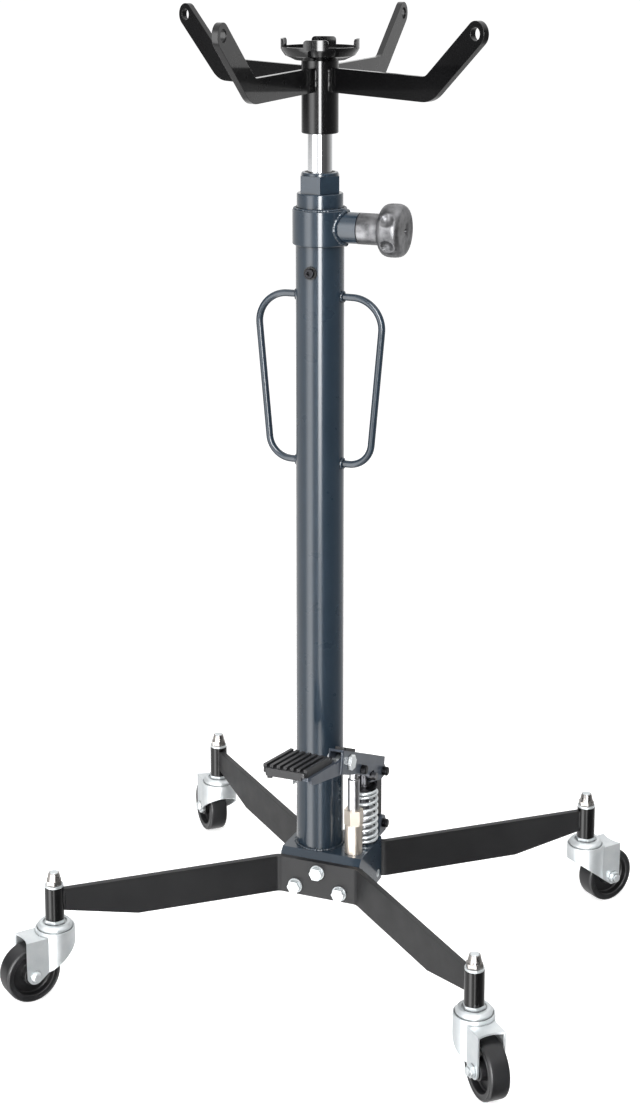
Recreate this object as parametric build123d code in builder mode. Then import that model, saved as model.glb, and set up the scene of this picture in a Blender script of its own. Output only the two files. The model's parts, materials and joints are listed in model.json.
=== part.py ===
from build123d import *
import os
from math import atan2, cos, degrees, hypot, pi, radians, sin, sqrt, tan

# A foot-pumped transmission jack on four casters.
# Millimetres. The origin is on the floor, under the middle of the base block.
# -Y is the front (pedal side), +X is the pump side, +Z is up.

# ---- driving dimensions ----
fit = 0.05               # radial clearance of a fixed or a running fit
gap = 0.3                # clearance between curved faces of pieces that move apart
edge_break = 1.0         # chamfer on turned pieces, and the step left beside a cut

# base block
block_x = 114.0
block_y = 86.0
block_bottom = 90.0
block_height = 60.0
block_chamfer = 8.0
block_edge = 2.0

# column
column_x = -17.0         # the column stands off the middle, the pumps beside it
tank_r = 31.75
tank_wall = 3.0
tank_length = 870.0      # the visible length above the block
seat_depth = 4.0
collar_r = 36.0
collar_length = 46.0
cap_r = 30.25
cap_height = 21.0
gland_across_flats = 50.0
gland_height = 23.0
gland_crown = 4.0
gland_turn = 52.0        # degrees, to a corner of the hexagon
cylinder_r = 24.5
cylinder_bore_r = 21.0
cylinder_foot_r = 23.0
cylinder_seat_depth = 30.0
ram_r = 16.0
ram_showing = 50.0       # chrome between the gland and the saddle sleeve, fully lowered
piston_height = 80.0     # long, so that it also guides the ram; what is left is the stroke

# saddle
sleeve_r = 24.0
sleeve_length = 94.0
sleeve_socket = 50.0
cup_r = 50.5
cup_depth = 17.0
cup_wall = 3.0
cup_stem_r = 11.0
cup_stem_length = 30.0
claw_width = 32.0
claw_height = 10.0
claw_turn = 16.0         # degrees from +X to the first claw
arm_thickness = 8.0
arm_width = 31.0
arm_elbow = 216.0        # from the column axis to the elbow
arm_reach = 300.0        # from the column axis to the tip hole
arm_rise = 70.5
arm_above_sleeve_end = 54.0
arm_inner_bend = 15.0
arm_outer_bend = 46.0
arm_hole_r = 8.0
arm_turns = (-90.0, -30.0, 90.0, 150.0)

# handles
handle_rod_r = 4.75
handle_top = 114.0       # below the tank's top
handle_height = 223.0
handle_top_reach = 90.0  # the corner of the rod's centre line, from the column axis
handle_low_reach = 69.7
handle_top_bend = 40.0
handle_low_bend = 31.0

# release valve
release_drop = 23.0      # axis below the tank's top
boss_r = 20.5
boss_reach = 56.0        # from the column axis
knob_neck = 32.0
knob_r = 35.0
knob_width = 30.0
knob_edge = 9.0
knob_dimple_r = 7.5
knob_dimple_depth = 5.0
knob_dimples = 6
knob_hole_r = 3.0
spindle_r = 9.0
spindle_stub_r = 6.0
cam_r = 6.8
cam_lift = 2.0
release_rod_r = 1.2
ball_r = 2.5             # release and relief valve balls

# filler plug
filler_drop = 80.0       # below the tank's top
filler_r = 6.5
filler_height = 5.0

# legs and casters
caster_half_x = 288.0
caster_half_y = 253.0
leg_height = 50.0
leg_thickness = 8.0
leg_bottom = 92.0
leg_bend = 16.0
leg_tip_height = 27.0
leg_taper_from = 0.64    # part of the arm that keeps its full height
leg_bolt_spacing = 32.0
leg_bolt_low = 12.0      # above the leg's lower edge
leg_bolt_high = 36.0
bolt_r = 5.0
bolt_flats = 16.0
bolt_head = 6.5
bolt_grip = 11.0         # thread in the block
washer_r = 10.0
washer_height = 2.0
socket_r = 12.5
socket_length = 44.5
socket_top_above_leg = 4.5
stem_r = 6.0
collar_flats = 25.0
stem_collar_height = 5.5
nut_flats = 19.0
nut_base_height = 6.0
nut_height = 16.0
nut_washer_r = 12.2
nut_washer_height = 3.0
race_r = 23.0
fork_race_r = 26.0
race_sheet = 2.0
race_ball_r = 2.0
race_ball_ring_r = 18.0
race_room = 10.5         # from the crown's top to the stem's collar
race_shoulder = 3.5
hump_rise = 1.5
hump_half = 2.0
track_half = 1.8
track_slope = 0.6
balls_per_race = 16
fork_sheet = 2.5
fork_half_width = 18.5
fork_tail = 49.0
tail_notch = 4.0
tail_notch_r = 40.0
fork_side_drop = 14.0
fork_boss_r = 11.0
trail = 37.0
wheel_r = 38.0
wheel_width = 27.0
wheel_hub_r = 13.0
wheel_hub_width = 29.0
wheel_rim = 9.0
wheel_web = 7.0
wheel_shoulder = 2.5
bush_r = 8.0
axle_r = 5.0
axle_head_r = 7.0
axle_nut_flats = 14.0
caster_turns = (234.5, 314.0, 54.5, 134.0)

# pumps
pump_x = 38.5
fast_pump_y = -16.0
main_pump_y = 24.0
fast_body_r = 12.0
fast_body_height = 40.0
fast_hex_flats = 22.5
fast_hex_turn = 30.0
fast_hex_height = 21.0
fast_plunger_r = 8.0
main_body_r = 11.5
main_body_height = 44.0
main_plunger_r = 7.0
thread_step = 2.0            # the threaded ends are this much smaller in radius
fast_stroke = 46.7
main_stroke = 24.2
pump_thread_depth = 25.0
pump_well_r = 6.0
pump_well_depth = 46.0
spring_r = 19.0              # outside radius
spring_wire_r = 2.2
spring_height = 76.0
spring_turns = 8.5

# pump lever: y and height of its pivots with the pedal up
fulcrum_y = 68.0
fulcrum_z = 234.0
link_foot_z = 158.0
lever_width = 21.0
lever_wall = 3.0
main_pin_z = 244.0
fast_pin_y = -13.0
fast_pin_z = 268.0
pedal_bolt_y = -56.5
pedal_bolt_z = 295.0
lever_pin_r = 4.0
pin_head_r = 6.0
pin_head = 7.0
rivet_end = 2.0
lobe_r = 9.0
slot_half = 4.0              # half the distance between the ends' centres
slot_r = 6.0
cross_pin_r = 5.2
link_width = 10.0
waist_length = 17.0           # from the main pin to where the cheek is narrow
waist_end = 10.0
nose_length = 29.5            # in front of the pedal bolt
nose_depth = 17.0             # under the pedal bolt
lever_top_front = (-80.0, 320.0)
lever_top_rear = (75.0, 252.0)

# pedal
pad_width = 60.0
pad_length = 95.0
pad_tilt = 8.5
pad_rear_y = -95.0
pad_rear_z = 308.5
pad_right_x = 41.0
pad_base = 6.0
pad_lip = 2.0
pad_rib = 4.0
pad_ribs = 7
pad_rib_width = 4.5
plate_sheet = 4.0
flange_lobe_r = 10.0
flange_depth = 13.0
pedal_bolt_r = 6.0
pedal_bolt_flats = 18.0
pedal_bolt_head = 5.5
pad_bolt_r = 4.0
pad_bolt_flats = 13.0
pad_bolt_x = 15.0
pad_bolt_from_rear = 76.0

# ---- worked out from the above ----
block_top = block_bottom + block_height
tank_top = block_top + tank_length
tank_inner_r = tank_r - tank_wall
cap_top = tank_top + cap_height
gland_top = cap_top + gland_height + gland_crown
sleeve_bottom = gland_top + ram_showing
sleeve_top = sleeve_bottom + sleeve_length
ram_top = sleeve_bottom + sleeve_socket
cylinder_foot = block_top - cylinder_seat_depth
leg_top = leg_bottom + leg_height
socket_top = leg_top + socket_top_above_leg
socket_bottom = socket_top - socket_length
release_z = tank_top - release_drop
half_block_x = block_x / 2
half_block_y = block_y / 2

os.makedirs("parts", exist_ok=True)


def level(height, x=0.0, y=0.0):
    """A horizontal plane, its origin over (x, y)."""
    return Plane(origin=(x, y, height), x_dir=(1, 0, 0), z_dir=(0, 0, 1))


def facing(direction, x, y, height):
    """A plane through a point, looking along a horizontal direction, with +Z as its y axis."""
    side = Vector(0, 0, 1).cross(Vector(*direction))
    return Plane(origin=(x, y, height), x_dir=side, z_dir=direction)


def save(piece, name):
    """Label a finished sub-part and write its STEP file."""
    piece.part.label = name
    export_step(piece.part, f"parts/{name}.step")


def ring(plane, outer, inner, height):
    """A plain ring or tube standing on a plane."""
    with BuildPart() as piece:
        with BuildSketch(plane):
            Circle(outer)
            Circle(inner, mode=Mode.SUBTRACT)
        extrude(amount=height)
    return piece


# ---- base block ----
cross_gallery_z = block_bottom + 12.0
cross_gallery_y = 29.0
gallery_r = 2.5
relief_y = -31.0
relief_z = block_bottom + 19.0
relief_r = 5.0
relief_depth = 18.0
plug_r = 5.5
plug_depth = 9.0
release_well_r = 3.3
release_seat_r = 1.6
release_well_top = cross_gallery_z + 12.0
release_well_height = 9.0
release_x = column_x + (tank_inner_r + cylinder_r) / 2
pump_places = ((pump_x, fast_pump_y), (pump_x, main_pump_y))
leg_bolt_places = (
    (-leg_bolt_spacing, leg_bottom + leg_bolt_low),
    (leg_bolt_spacing, leg_bottom + leg_bolt_low),
    (0.0, leg_bottom + leg_bolt_high),
)

with BuildPart() as base_block:
    with BuildSketch(level(block_bottom)):
        Rectangle(block_x, block_y)
    extrude(amount=block_height)
    front_top_edge = base_block.edges().filter_by(Axis.X).group_by(Axis.Z)[-1].sort_by(Axis.Y)[0]
    chamfer(front_top_edge, block_chamfer)
    fillet(base_block.edges().filter_by(Axis.Z), block_edge)
    # the tank stands in a round groove, the pressure cylinder in a deep threaded seat
    with BuildSketch(level(block_top, column_x)):
        Circle(tank_r + fit)
        Circle(tank_inner_r - fit, mode=Mode.SUBTRACT)
    extrude(amount=-seat_depth, mode=Mode.SUBTRACT)
    with Locations((column_x, 0, block_top)):
        Hole(cylinder_foot_r + fit, cylinder_seat_depth)
    # pump threads and the wells under them, which hold the check balls
    with Locations((pump_x, fast_pump_y, block_top)):
        Hole(fast_body_r - thread_step + fit, pump_thread_depth)
    with Locations((pump_x, main_pump_y, block_top)):
        Hole(main_body_r - thread_step + fit, pump_thread_depth)
    with Locations(*[(x, y, block_top) for x, y in pump_places]):
        Hole(pump_well_r, pump_well_depth)
    # delivery gallery from the pump side, crossed under the cylinder by a second one
    with BuildSketch(facing((-1, 0, 0), half_block_x, cross_gallery_y, cross_gallery_z)):
        Circle(gallery_r)
    extrude(amount=half_block_x - column_x, mode=Mode.SUBTRACT)
    with BuildSketch(facing((-1, 0, 0), half_block_x, cross_gallery_y, cross_gallery_z)):
        Circle(plug_r + fit)
    extrude(amount=plug_depth, mode=Mode.SUBTRACT)
    with BuildSketch(facing((0, -1, 0), column_x, half_block_y, cross_gallery_z)):
        Circle(gallery_r)
    extrude(amount=half_block_y, mode=Mode.SUBTRACT)
    with Locations((column_x, 0, cylinder_foot)):
        Hole(gallery_r, cylinder_foot - cross_gallery_z)
    # relief valve chamber, joined to the fast pump's well
    with BuildSketch(facing((-1, 0, 0), half_block_x, relief_y, relief_z)):
        Circle(relief_r + fit)
    extrude(amount=relief_depth, mode=Mode.SUBTRACT)
    with BuildSketch(facing((0, 1, 0), pump_x + pump_well_r / 2, relief_y, relief_z)):
        Circle(gallery_r)
    extrude(amount=fast_pump_y - relief_y, mode=Mode.SUBTRACT)
    with BuildSketch(facing((0, 1, 0), pump_x, fast_pump_y, relief_z)):
        Circle(gallery_r)
    extrude(amount=main_pump_y - fast_pump_y, mode=Mode.SUBTRACT)
    # release valve: a narrow seat with a ball chamber under it, fed by a gallery from the left
    with Locations((release_x, 0, block_top)):
        Hole(release_seat_r, block_top - cross_gallery_z)
    with BuildSketch(level(release_well_top, release_x)):
        Circle(release_well_r)
    extrude(amount=-release_well_height, mode=Mode.SUBTRACT)
    with BuildSketch(facing((1, 0, 0), -half_block_x, 0, cross_gallery_z)):
        Circle(gallery_r)
    extrude(amount=half_block_x + release_x, mode=Mode.SUBTRACT)
    with BuildSketch(facing((1, 0, 0), -half_block_x, 0, cross_gallery_z)):
        Circle(plug_r + fit)
    extrude(amount=plug_depth, mode=Mode.SUBTRACT)
    # threads of the leg bolts, front and back
    for face in (-1, 1):
        for x, height in leg_bolt_places:
            with BuildSketch(facing((0, -face, 0), x, face * half_block_y, height)):
                Circle(bolt_r + fit)
            extrude(amount=bolt_grip, mode=Mode.SUBTRACT)
save(base_block, "base_block")

delivery_plug_plane = facing((1, 0, 0), half_block_x - plug_depth, cross_gallery_y, cross_gallery_z)
gallery_plug_plane = facing((-1, 0, 0), plug_depth - half_block_x, 0, cross_gallery_z)
relief_screw_length = 8.0
relief_screw_plane = facing((1, 0, 0), half_block_x - relief_screw_length, relief_y, relief_z)
plug_socket_r = 3.0
plug_socket_depth = 4.0


def plug(plane, radius, length):
    """A threaded plug with a hexagonal socket in its outer end."""
    with BuildPart() as piece:
        with BuildSketch(plane):
            Circle(radius)
        extrude(amount=length)
        with BuildSketch(plane.offset(length)):
            RegularPolygon(plug_socket_r, 6)
        extrude(amount=-plug_socket_depth, mode=Mode.SUBTRACT)
    return piece


save(plug(relief_screw_plane, relief_r, relief_screw_length), "relief_screw")

check_ball_r = pump_well_r - edge_break
relief_end_x = half_block_x - relief_depth
with BuildPart() as valve_balls:
    with Locations((relief_end_x + ball_r, relief_y, relief_z)):
        Sphere(ball_r)
    with Locations(*[(x, y, block_top - pump_well_depth + check_ball_r) for x, y in pump_places]):
        Sphere(check_ball_r)
save(valve_balls, "valve_balls")


# ---- oil tank, collar, cap and gland ----
filler_z = tank_top - filler_drop
filler_shank_r = 4.0
filler_washer_r = 8.5
filler_washer_height = 2.5
filler_socket_r = 3.0
spindle_bore_r = spindle_r + fit
release_plane = facing((1, 0, 0), column_x, 0, release_z)
filler_plane = facing((0, -1, 0), column_x, 0, filler_z)

with BuildPart() as reservoir_tank:
    with BuildSketch(level(block_top - seat_depth, column_x)):
        Circle(tank_r)
        Circle(tank_inner_r, mode=Mode.SUBTRACT)
    extrude(amount=tank_length + seat_depth)
    with BuildSketch(release_plane):
        Circle(spindle_bore_r + fit)
    extrude(amount=tank_r + fit, mode=Mode.SUBTRACT)
    with BuildSketch(filler_plane):
        Circle(filler_shank_r + fit)
    extrude(amount=tank_r + fit, mode=Mode.SUBTRACT)
save(reservoir_tank, "reservoir_tank")

with BuildPart() as tank_collar:
    with BuildSketch(level(tank_top - collar_length, column_x)):
        Circle(collar_r)
        Circle(tank_r + fit, mode=Mode.SUBTRACT)
    extrude(amount=collar_length)
    chamfer(tank_collar.edges().filter_by(GeomType.CIRCLE).sort_by(SortBy.RADIUS)[-2:], edge_break)
    with BuildSketch(release_plane):
        Circle(spindle_bore_r + fit)
    extrude(amount=collar_r + fit, mode=Mode.SUBTRACT)
save(tank_collar, "tank_collar")

cap_spigot = 12.0
cap_recess_depth = 12.0
gland_spigot_r = 22.0
rod_seal_r = 20.0
rod_seal_height = 6.0
cylinder_top = tank_top - 4.0
with BuildPart() as tank_cap:
    with BuildSketch(level(tank_top - cap_spigot, column_x)):
        Circle(tank_inner_r - fit)
    extrude(amount=cap_spigot)
    with BuildSketch(level(tank_top, column_x)):
        Circle(cap_r)
    extrude(amount=cap_height)
    chamfer(tank_cap.faces().sort_by(Axis.Z)[-1].edges(), edge_break)
    # seat of the pressure cylinder from below, of the gland from above, and the ram's bore
    with BuildSketch(level(tank_top - cap_spigot, column_x)):
        Circle(cylinder_r + fit)
    extrude(amount=cylinder_top - tank_top + cap_spigot, mode=Mode.SUBTRACT)
    with Locations((column_x, 0, cap_top)):
        Hole(gland_spigot_r + fit, cap_recess_depth)
        Hole(rod_seal_r + fit, cap_recess_depth + rod_seal_height)
        Hole(ram_r + fit)
save(tank_cap, "tank_cap")

wiper_r = 19.5
wiper_height = 4.0
with BuildPart() as gland_nut:
    with BuildSketch(level(cap_top - cap_recess_depth, column_x)):
        Circle(gland_spigot_r)
    extrude(amount=cap_recess_depth)
    with BuildSketch(level(cap_top, column_x)):
        RegularPolygon(gland_across_flats / 2, 6, major_radius=False, rotation=gland_turn)
    extrude(amount=gland_height)
    # a round crown above the hexagon
    with BuildSketch(level(cap_top + gland_height, column_x)):
        Circle(gland_across_flats / 2 - edge_break)
    extrude(amount=gland_crown)
    chamfer(gland_nut.faces().sort_by(Axis.Z)[-1].edges(), edge_break)
    with Locations((column_x, 0, gland_top)):
        Hole(wiper_r + fit, wiper_height)
        Hole(ram_r + fit)
save(gland_nut, "gland_nut")

with BuildPart() as pressure_cylinder:
    with BuildSketch(level(cylinder_foot, column_x)):
        Circle(cylinder_foot_r)
    extrude(amount=cylinder_seat_depth)
    with BuildSketch(level(block_top, column_x)):
        Circle(cylinder_r)
    extrude(amount=cylinder_top - block_top)
    with Locations((column_x, 0, cylinder_top)):
        Hole(cylinder_bore_r)
save(pressure_cylinder, "pressure_cylinder")

# ---- ram ----
piston_bore_r = 9.0
piston_bottom = cylinder_foot + 8.0
piston_top = piston_bottom + piston_height
seal_height = 6.0
seal_depth = 3.0
seal_z = piston_bottom + 10.0

with BuildPart() as ram:
    with BuildSketch(level(piston_bottom, column_x)):
        Circle(piston_bore_r)
    extrude(amount=piston_height)
    with BuildSketch(level(piston_top, column_x)):
        Circle(ram_r)
    extrude(amount=ram_top - piston_top)
    chamfer(ram.faces().sort_by(Axis.Z)[-1].edges(), edge_break)
save(ram, "ram")

with BuildPart() as piston:
    with BuildSketch(level(piston_bottom, column_x)):
        Circle(cylinder_bore_r - fit)
        Circle(piston_bore_r + fit, mode=Mode.SUBTRACT)
    extrude(amount=piston_height)
    with BuildSketch(level(seal_z, column_x)):
        Circle(cylinder_bore_r)
        Circle(cylinder_bore_r - seal_depth, mode=Mode.SUBTRACT)
    extrude(amount=seal_height, mode=Mode.SUBTRACT)
save(piston, "piston")
piston_seal = ring(level(seal_z, column_x), cylinder_bore_r - fit, cylinder_bore_r - seal_depth, seal_height)
save(piston_seal, "piston_seal")

# ---- release valve at the top of the column ----
groove_from = 44.0
groove_width = 4.0
groove_depth = 1.5
screw_r = 2.5
screw_tip_r = 1.6
screw_tip = 1.2
spindle_seal_from = 35.0
spindle_seal_width = 3.0
cam_from = cylinder_r + 0.6
cam_width = tank_inner_r - cylinder_r - 1.2
stub_end = boss_reach + knob_neck + knob_width / 3
retaining_x = column_x + groove_from + groove_width / 2

with BuildPart() as release_boss:
    with BuildSketch(release_plane.offset(tank_r)):
        Circle(boss_r)
        Circle(spindle_bore_r, mode=Mode.SUBTRACT)
    extrude(amount=boss_reach - tank_r)
    # cut to lie on the collar
    with BuildSketch(level(release_z - boss_r - edge_break, column_x)):
        Circle(collar_r)
    extrude(amount=2 * (boss_r + edge_break), mode=Mode.SUBTRACT)
    with BuildSketch(level(release_z, retaining_x)):
        Circle(screw_r + fit)
    extrude(amount=-boss_r - edge_break, mode=Mode.SUBTRACT)
save(release_boss, "release_boss")

with BuildPart() as release_spindle:
    with BuildSketch(release_plane.offset(cam_from + cam_width)):
        Circle(spindle_r)
    extrude(amount=boss_reach - cam_from - cam_width)
    with BuildSketch(release_plane.offset(boss_reach)):
        Circle(spindle_stub_r)
    extrude(amount=stub_end - boss_reach)
    # the cam is a disc set off the axis, highest when the valve is shut
    with BuildSketch(release_plane.offset(cam_from)):
        with Locations((0, cam_lift)):
            Circle(cam_r)
    extrude(amount=cam_width)
    with BuildSketch(release_plane.offset(groove_from)):
        Circle(spindle_r + fit)
        Circle(spindle_r - groove_depth, mode=Mode.SUBTRACT)
    extrude(amount=groove_width, mode=Mode.SUBTRACT)
    with BuildSketch(release_plane.offset(spindle_seal_from)):
        Circle(spindle_r + fit)
        Circle(spindle_r - groove_depth, mode=Mode.SUBTRACT)
    extrude(amount=spindle_seal_width, mode=Mode.SUBTRACT)
save(release_spindle, "release_spindle")

seal_plane = release_plane.offset(spindle_seal_from)
spindle_seal = ring(seal_plane, spindle_r, spindle_r - groove_depth, spindle_seal_width)
save(spindle_seal, "spindle_seal")

with BuildPart() as retaining_screw:
    with BuildSketch(level(release_z - boss_r + edge_break, retaining_x)):
        Circle(screw_r)
    extrude(amount=boss_r - edge_break - spindle_bore_r)
    with BuildSketch(level(release_z - spindle_bore_r, retaining_x)):
        Circle(screw_tip_r)
    extrude(amount=screw_tip)

with BuildPart() as threaded_plugs:
    add(plug(delivery_plug_plane, plug_r, plug_depth).part)
    add(plug(gallery_plug_plane, plug_r, plug_depth).part)
    add(retaining_screw.part)
save(threaded_plugs, "threaded_plugs")

# the knob is turned about its axis: neck, then a thick round-edged head
head_from = boss_reach + knob_neck
with BuildPart() as release_knob:
    with BuildSketch(Plane(origin=(column_x, 0, release_z), x_dir=(1, 0, 0), z_dir=(0, -1, 0))):
        with BuildLine():
            Polyline(
                (boss_reach + gap, spindle_stub_r + fit),
                (boss_reach + gap, boss_r),
                (head_from, boss_r),
                (head_from, knob_r),
                (head_from + knob_width, knob_r),
                (head_from + knob_width, 0),
                (stub_end + fit, 0),
                (stub_end + fit, spindle_stub_r + fit),
                close=True,
            )
        make_face()
    revolve(axis=Axis((column_x, 0, release_z), (1, 0, 0)))
    rim = release_knob.edges().filter_by(GeomType.CIRCLE).group_by(SortBy.RADIUS)[-1]
    fillet(rim, min(knob_edge, knob_r - boss_r - edge_break))
    # finger dimples sunk into the rim
    for turn in range(knob_dimples):
        angle = 2 * pi * (turn + 0.5) / knob_dimples
        outward = (0, -cos(angle), sin(angle))
        middle = Vector(column_x + head_from + knob_width / 2, 0, release_z)
        floor_plane = Plane(origin=middle + Vector(*outward) * (knob_r - knob_dimple_depth), z_dir=outward)
        with BuildSketch(floor_plane):
            Circle(knob_dimple_r)
        extrude(amount=2 * knob_dimple_depth, mode=Mode.SUBTRACT)
    with BuildSketch(release_plane.offset(head_from + knob_width)):
        Circle(knob_hole_r)
    extrude(amount=-knob_width / 3, mode=Mode.SUBTRACT)
save(release_knob, "release_knob")

# the release rod runs down the oil space between tank and cylinder
rod_top = release_z + cam_lift - cam_r - gap
valve_ball_z = release_well_top - ball_r - gap
with BuildPart() as release_rod:
    with BuildSketch(level(valve_ball_z, release_x)):
        Circle(release_rod_r)
    extrude(amount=rod_top - valve_ball_z)
    with Locations((release_x, 0, valve_ball_z)):
        Sphere(ball_r)
save(release_rod, "release_rod")

# ---- filler plug ----
filler_face = sqrt(tank_r**2 - filler_washer_r**2)
with BuildPart() as filler_washer:
    with BuildSketch(filler_plane.offset(filler_face)):
        Circle(filler_washer_r)
        Circle(filler_shank_r + fit, mode=Mode.SUBTRACT)
    extrude(amount=tank_r - filler_face + filler_washer_height)
    with BuildSketch(level(filler_z - filler_washer_r - edge_break, column_x)):
        Circle(tank_r)
    extrude(amount=2 * (filler_washer_r + edge_break), mode=Mode.SUBTRACT)

rod_seal_z = cap_top - cap_recess_depth - rod_seal_height
with BuildPart() as column_seals:
    add(ring(level(gland_top - wiper_height, column_x), wiper_r, ram_r + fit, wiper_height).part)
    add(ring(level(rod_seal_z, column_x), rod_seal_r, ram_r + fit, rod_seal_height).part)
    add(filler_washer.part)
save(column_seals, "column_seals")

with BuildPart() as filler_plug:
    with BuildSketch(filler_plane.offset(tank_inner_r)):
        Circle(filler_shank_r)
    extrude(amount=tank_wall + filler_washer_height)
    with BuildSketch(filler_plane.offset(tank_r + filler_washer_height)):
        Circle(filler_r)
    extrude(amount=filler_height)
    fillet(filler_plug.faces().sort_by(Axis.Y)[0].edges(), edge_break)
    with BuildSketch(filler_plane.offset(tank_r + filler_washer_height + filler_height)):
        RegularPolygon(filler_socket_r, 6)
    extrude(amount=edge_break - filler_height, mode=Mode.SUBTRACT)
save(filler_plug, "filler_plug")

# ---- handles ----
handle_top_z = tank_top - handle_top
handle_foot_z = handle_top_z - handle_height
for name, side in (("handle_left", -1), ("handle_right", 1)):
    with BuildPart() as handle:
        with BuildLine(Plane.XZ):
            FilletPolyline(
                (column_x + side * tank_inner_r, handle_top_z),
                (column_x + side * handle_top_reach, handle_top_z),
                (column_x + side * handle_low_reach, handle_foot_z),
                (column_x + side * tank_inner_r, handle_foot_z),
                radius=(handle_top_bend, handle_low_bend),
            )
        with BuildSketch(facing((side, 0, 0), column_x + side * tank_inner_r, 0, handle_top_z)):
            Circle(handle_rod_r)
        sweep()
        # the ends are cut to lie on the tank
        with BuildSketch(level(handle_foot_z - 2 * handle_rod_r, column_x)):
            Circle(tank_r)
        extrude(amount=handle_height + 4 * handle_rod_r, mode=Mode.SUBTRACT)
    save(handle, name)

# ---- legs ----
leg_middle_z = leg_bottom + leg_height / 2
for name, side in (("front_leg", -1), ("rear_leg", 1)):
    plate_y = side * (half_block_y + leg_thickness / 2)
    tip_y = side * caster_half_y
    arm_x = caster_half_x - half_block_x
    arm_length = hypot(arm_x, tip_y - plate_y)
    with BuildPart() as leg:
        with BuildLine(level(leg_middle_z)):
            FilletPolyline(
                (-caster_half_x, tip_y),
                (-half_block_x, plate_y),
                (half_block_x, plate_y),
                (caster_half_x, tip_y),
                radius=leg_bend,
            )
        arm_direction = (arm_x, plate_y - tip_y, 0)
        with BuildSketch(facing(arm_direction, -caster_half_x, tip_y, leg_middle_z)):
            Rectangle(leg_thickness, leg_height)
        sweep()
        for turn in (-1, 1):
            # the lower edge rises towards the tip
            along = Vector(turn * arm_x, tip_y - plate_y, 0).normalized()
            across = along.cross(Vector(0, 0, 1))
            arm_plane = Plane(origin=(turn * half_block_x, plate_y, leg_bottom), x_dir=along, z_dir=across)
            with BuildSketch(arm_plane):
                with BuildLine():
                    Polyline(
                        (leg_taper_from * arm_length, 0),
                        (arm_length, leg_height - leg_tip_height),
                        (arm_length, -edge_break),
                        (leg_taper_from * arm_length, -edge_break),
                        close=True,
                    )
                make_face()
            extrude(amount=leg_thickness, both=True, mode=Mode.SUBTRACT)
            # the tip is cut to lie on its caster socket
            with BuildSketch(level(leg_bottom - edge_break, turn * caster_half_x, tip_y)):
                Circle(socket_r)
            extrude(amount=leg_height + 2 * edge_break, mode=Mode.SUBTRACT)
        for x, height in leg_bolt_places:
            with BuildSketch(facing((0, side, 0), x, side * half_block_y, height)):
                Circle(bolt_r + gap)
            extrude(amount=leg_thickness, mode=Mode.SUBTRACT)
    save(leg, name)

leg_face = half_block_y + leg_thickness
with BuildPart() as leg_washers:
    for side in (-1, 1):
        for x, height in leg_bolt_places:
            with BuildSketch(facing((0, side, 0), x, side * leg_face, height)):
                Circle(washer_r)
                Circle(bolt_r + gap, mode=Mode.SUBTRACT)
            extrude(amount=washer_height)
save(leg_washers, "leg_washers")

with BuildPart() as leg_bolts:
    for side in (-1, 1):
        for x, height in leg_bolt_places:
            with BuildSketch(facing((0, side, 0), x, side * (half_block_y - bolt_grip + edge_break), height)):
                Circle(bolt_r)
            extrude(amount=bolt_grip - edge_break + leg_thickness + washer_height)
            with BuildSketch(facing((0, side, 0), x, side * (leg_face + washer_height), height)):
                RegularPolygon(bolt_flats / 2, 6, major_radius=False)
            extrude(amount=bolt_head)
save(leg_bolts, "leg_bolts")

# ---- casters ----
caster_places = (
    (-caster_half_x, -caster_half_y),
    (caster_half_x, -caster_half_y),
    (caster_half_x, caster_half_y),
    (-caster_half_x, caster_half_y),
)
nut_foot = socket_top + nut_washer_height
nut_cone_r = 7.0
stem_collar_bottom = socket_bottom - stem_collar_height
crown_top = stem_collar_bottom - race_room
crown_bottom = crown_top - fork_sheet
race_lift = 5.5
rivet_r = 9.0
rivet_height = 3.0
race_rim = 5.0
hump_top = stem_collar_bottom + hump_rise
hump_inner_r = race_ball_ring_r - hump_half
hump_outer_r = race_ball_ring_r + hump_half
hump_shoulder = hump_top - race_shoulder
race_foot = crown_top + race_rim - edge_break


def at_casters(shape):
    """The same solid at each of the four casters."""
    with BuildPart() as group:
        with Locations(*[(x, y, 0) for x, y in caster_places]):
            add(shape)
    return group


socket = ring(level(socket_bottom), socket_r, stem_r + fit, socket_length)
save(at_casters(socket.part), "caster_sockets")

with BuildPart() as stem:
    with BuildSketch(level(crown_bottom - gap)):
        Circle(stem_r)
    extrude(amount=nut_foot + nut_height + edge_break - crown_bottom + gap)
    with BuildSketch(level(stem_collar_bottom)):
        RegularPolygon(collar_flats / 2, 6, major_radius=False)
    extrude(amount=stem_collar_height)
    with BuildSketch(level(crown_bottom - gap)):
        Circle(rivet_r)
    extrude(amount=-rivet_height)
    chamfer(stem.faces().sort_by(Axis.Z)[-1].edges(), edge_break)
    fillet(stem.faces().sort_by(Axis.Z)[0].edges(), edge_break)
save(at_casters(stem.part), "caster_stems")

nut_washer = ring(level(socket_top), nut_washer_r, stem_r + fit, nut_foot - socket_top)
save(at_casters(nut_washer.part), "nut_washers")

with BuildPart() as lock_nut:
    with BuildSketch(level(nut_foot)):
        RegularPolygon(nut_flats / 2, 6, major_radius=False)
    extrude(amount=nut_base_height)
    with BuildSketch(level(nut_foot + nut_base_height)):
        Circle(nut_flats / 2 - gap)
    with BuildSketch(level(nut_foot + nut_height)):
        Circle(nut_cone_r)
    loft()
    fillet(lock_nut.faces().sort_by(Axis.Z)[-1].edges(), gap)
    with Locations((0, 0, nut_foot + nut_height)):
        Hole(stem_r + fit)
save(at_casters(lock_nut.part), "caster_nuts")

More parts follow.
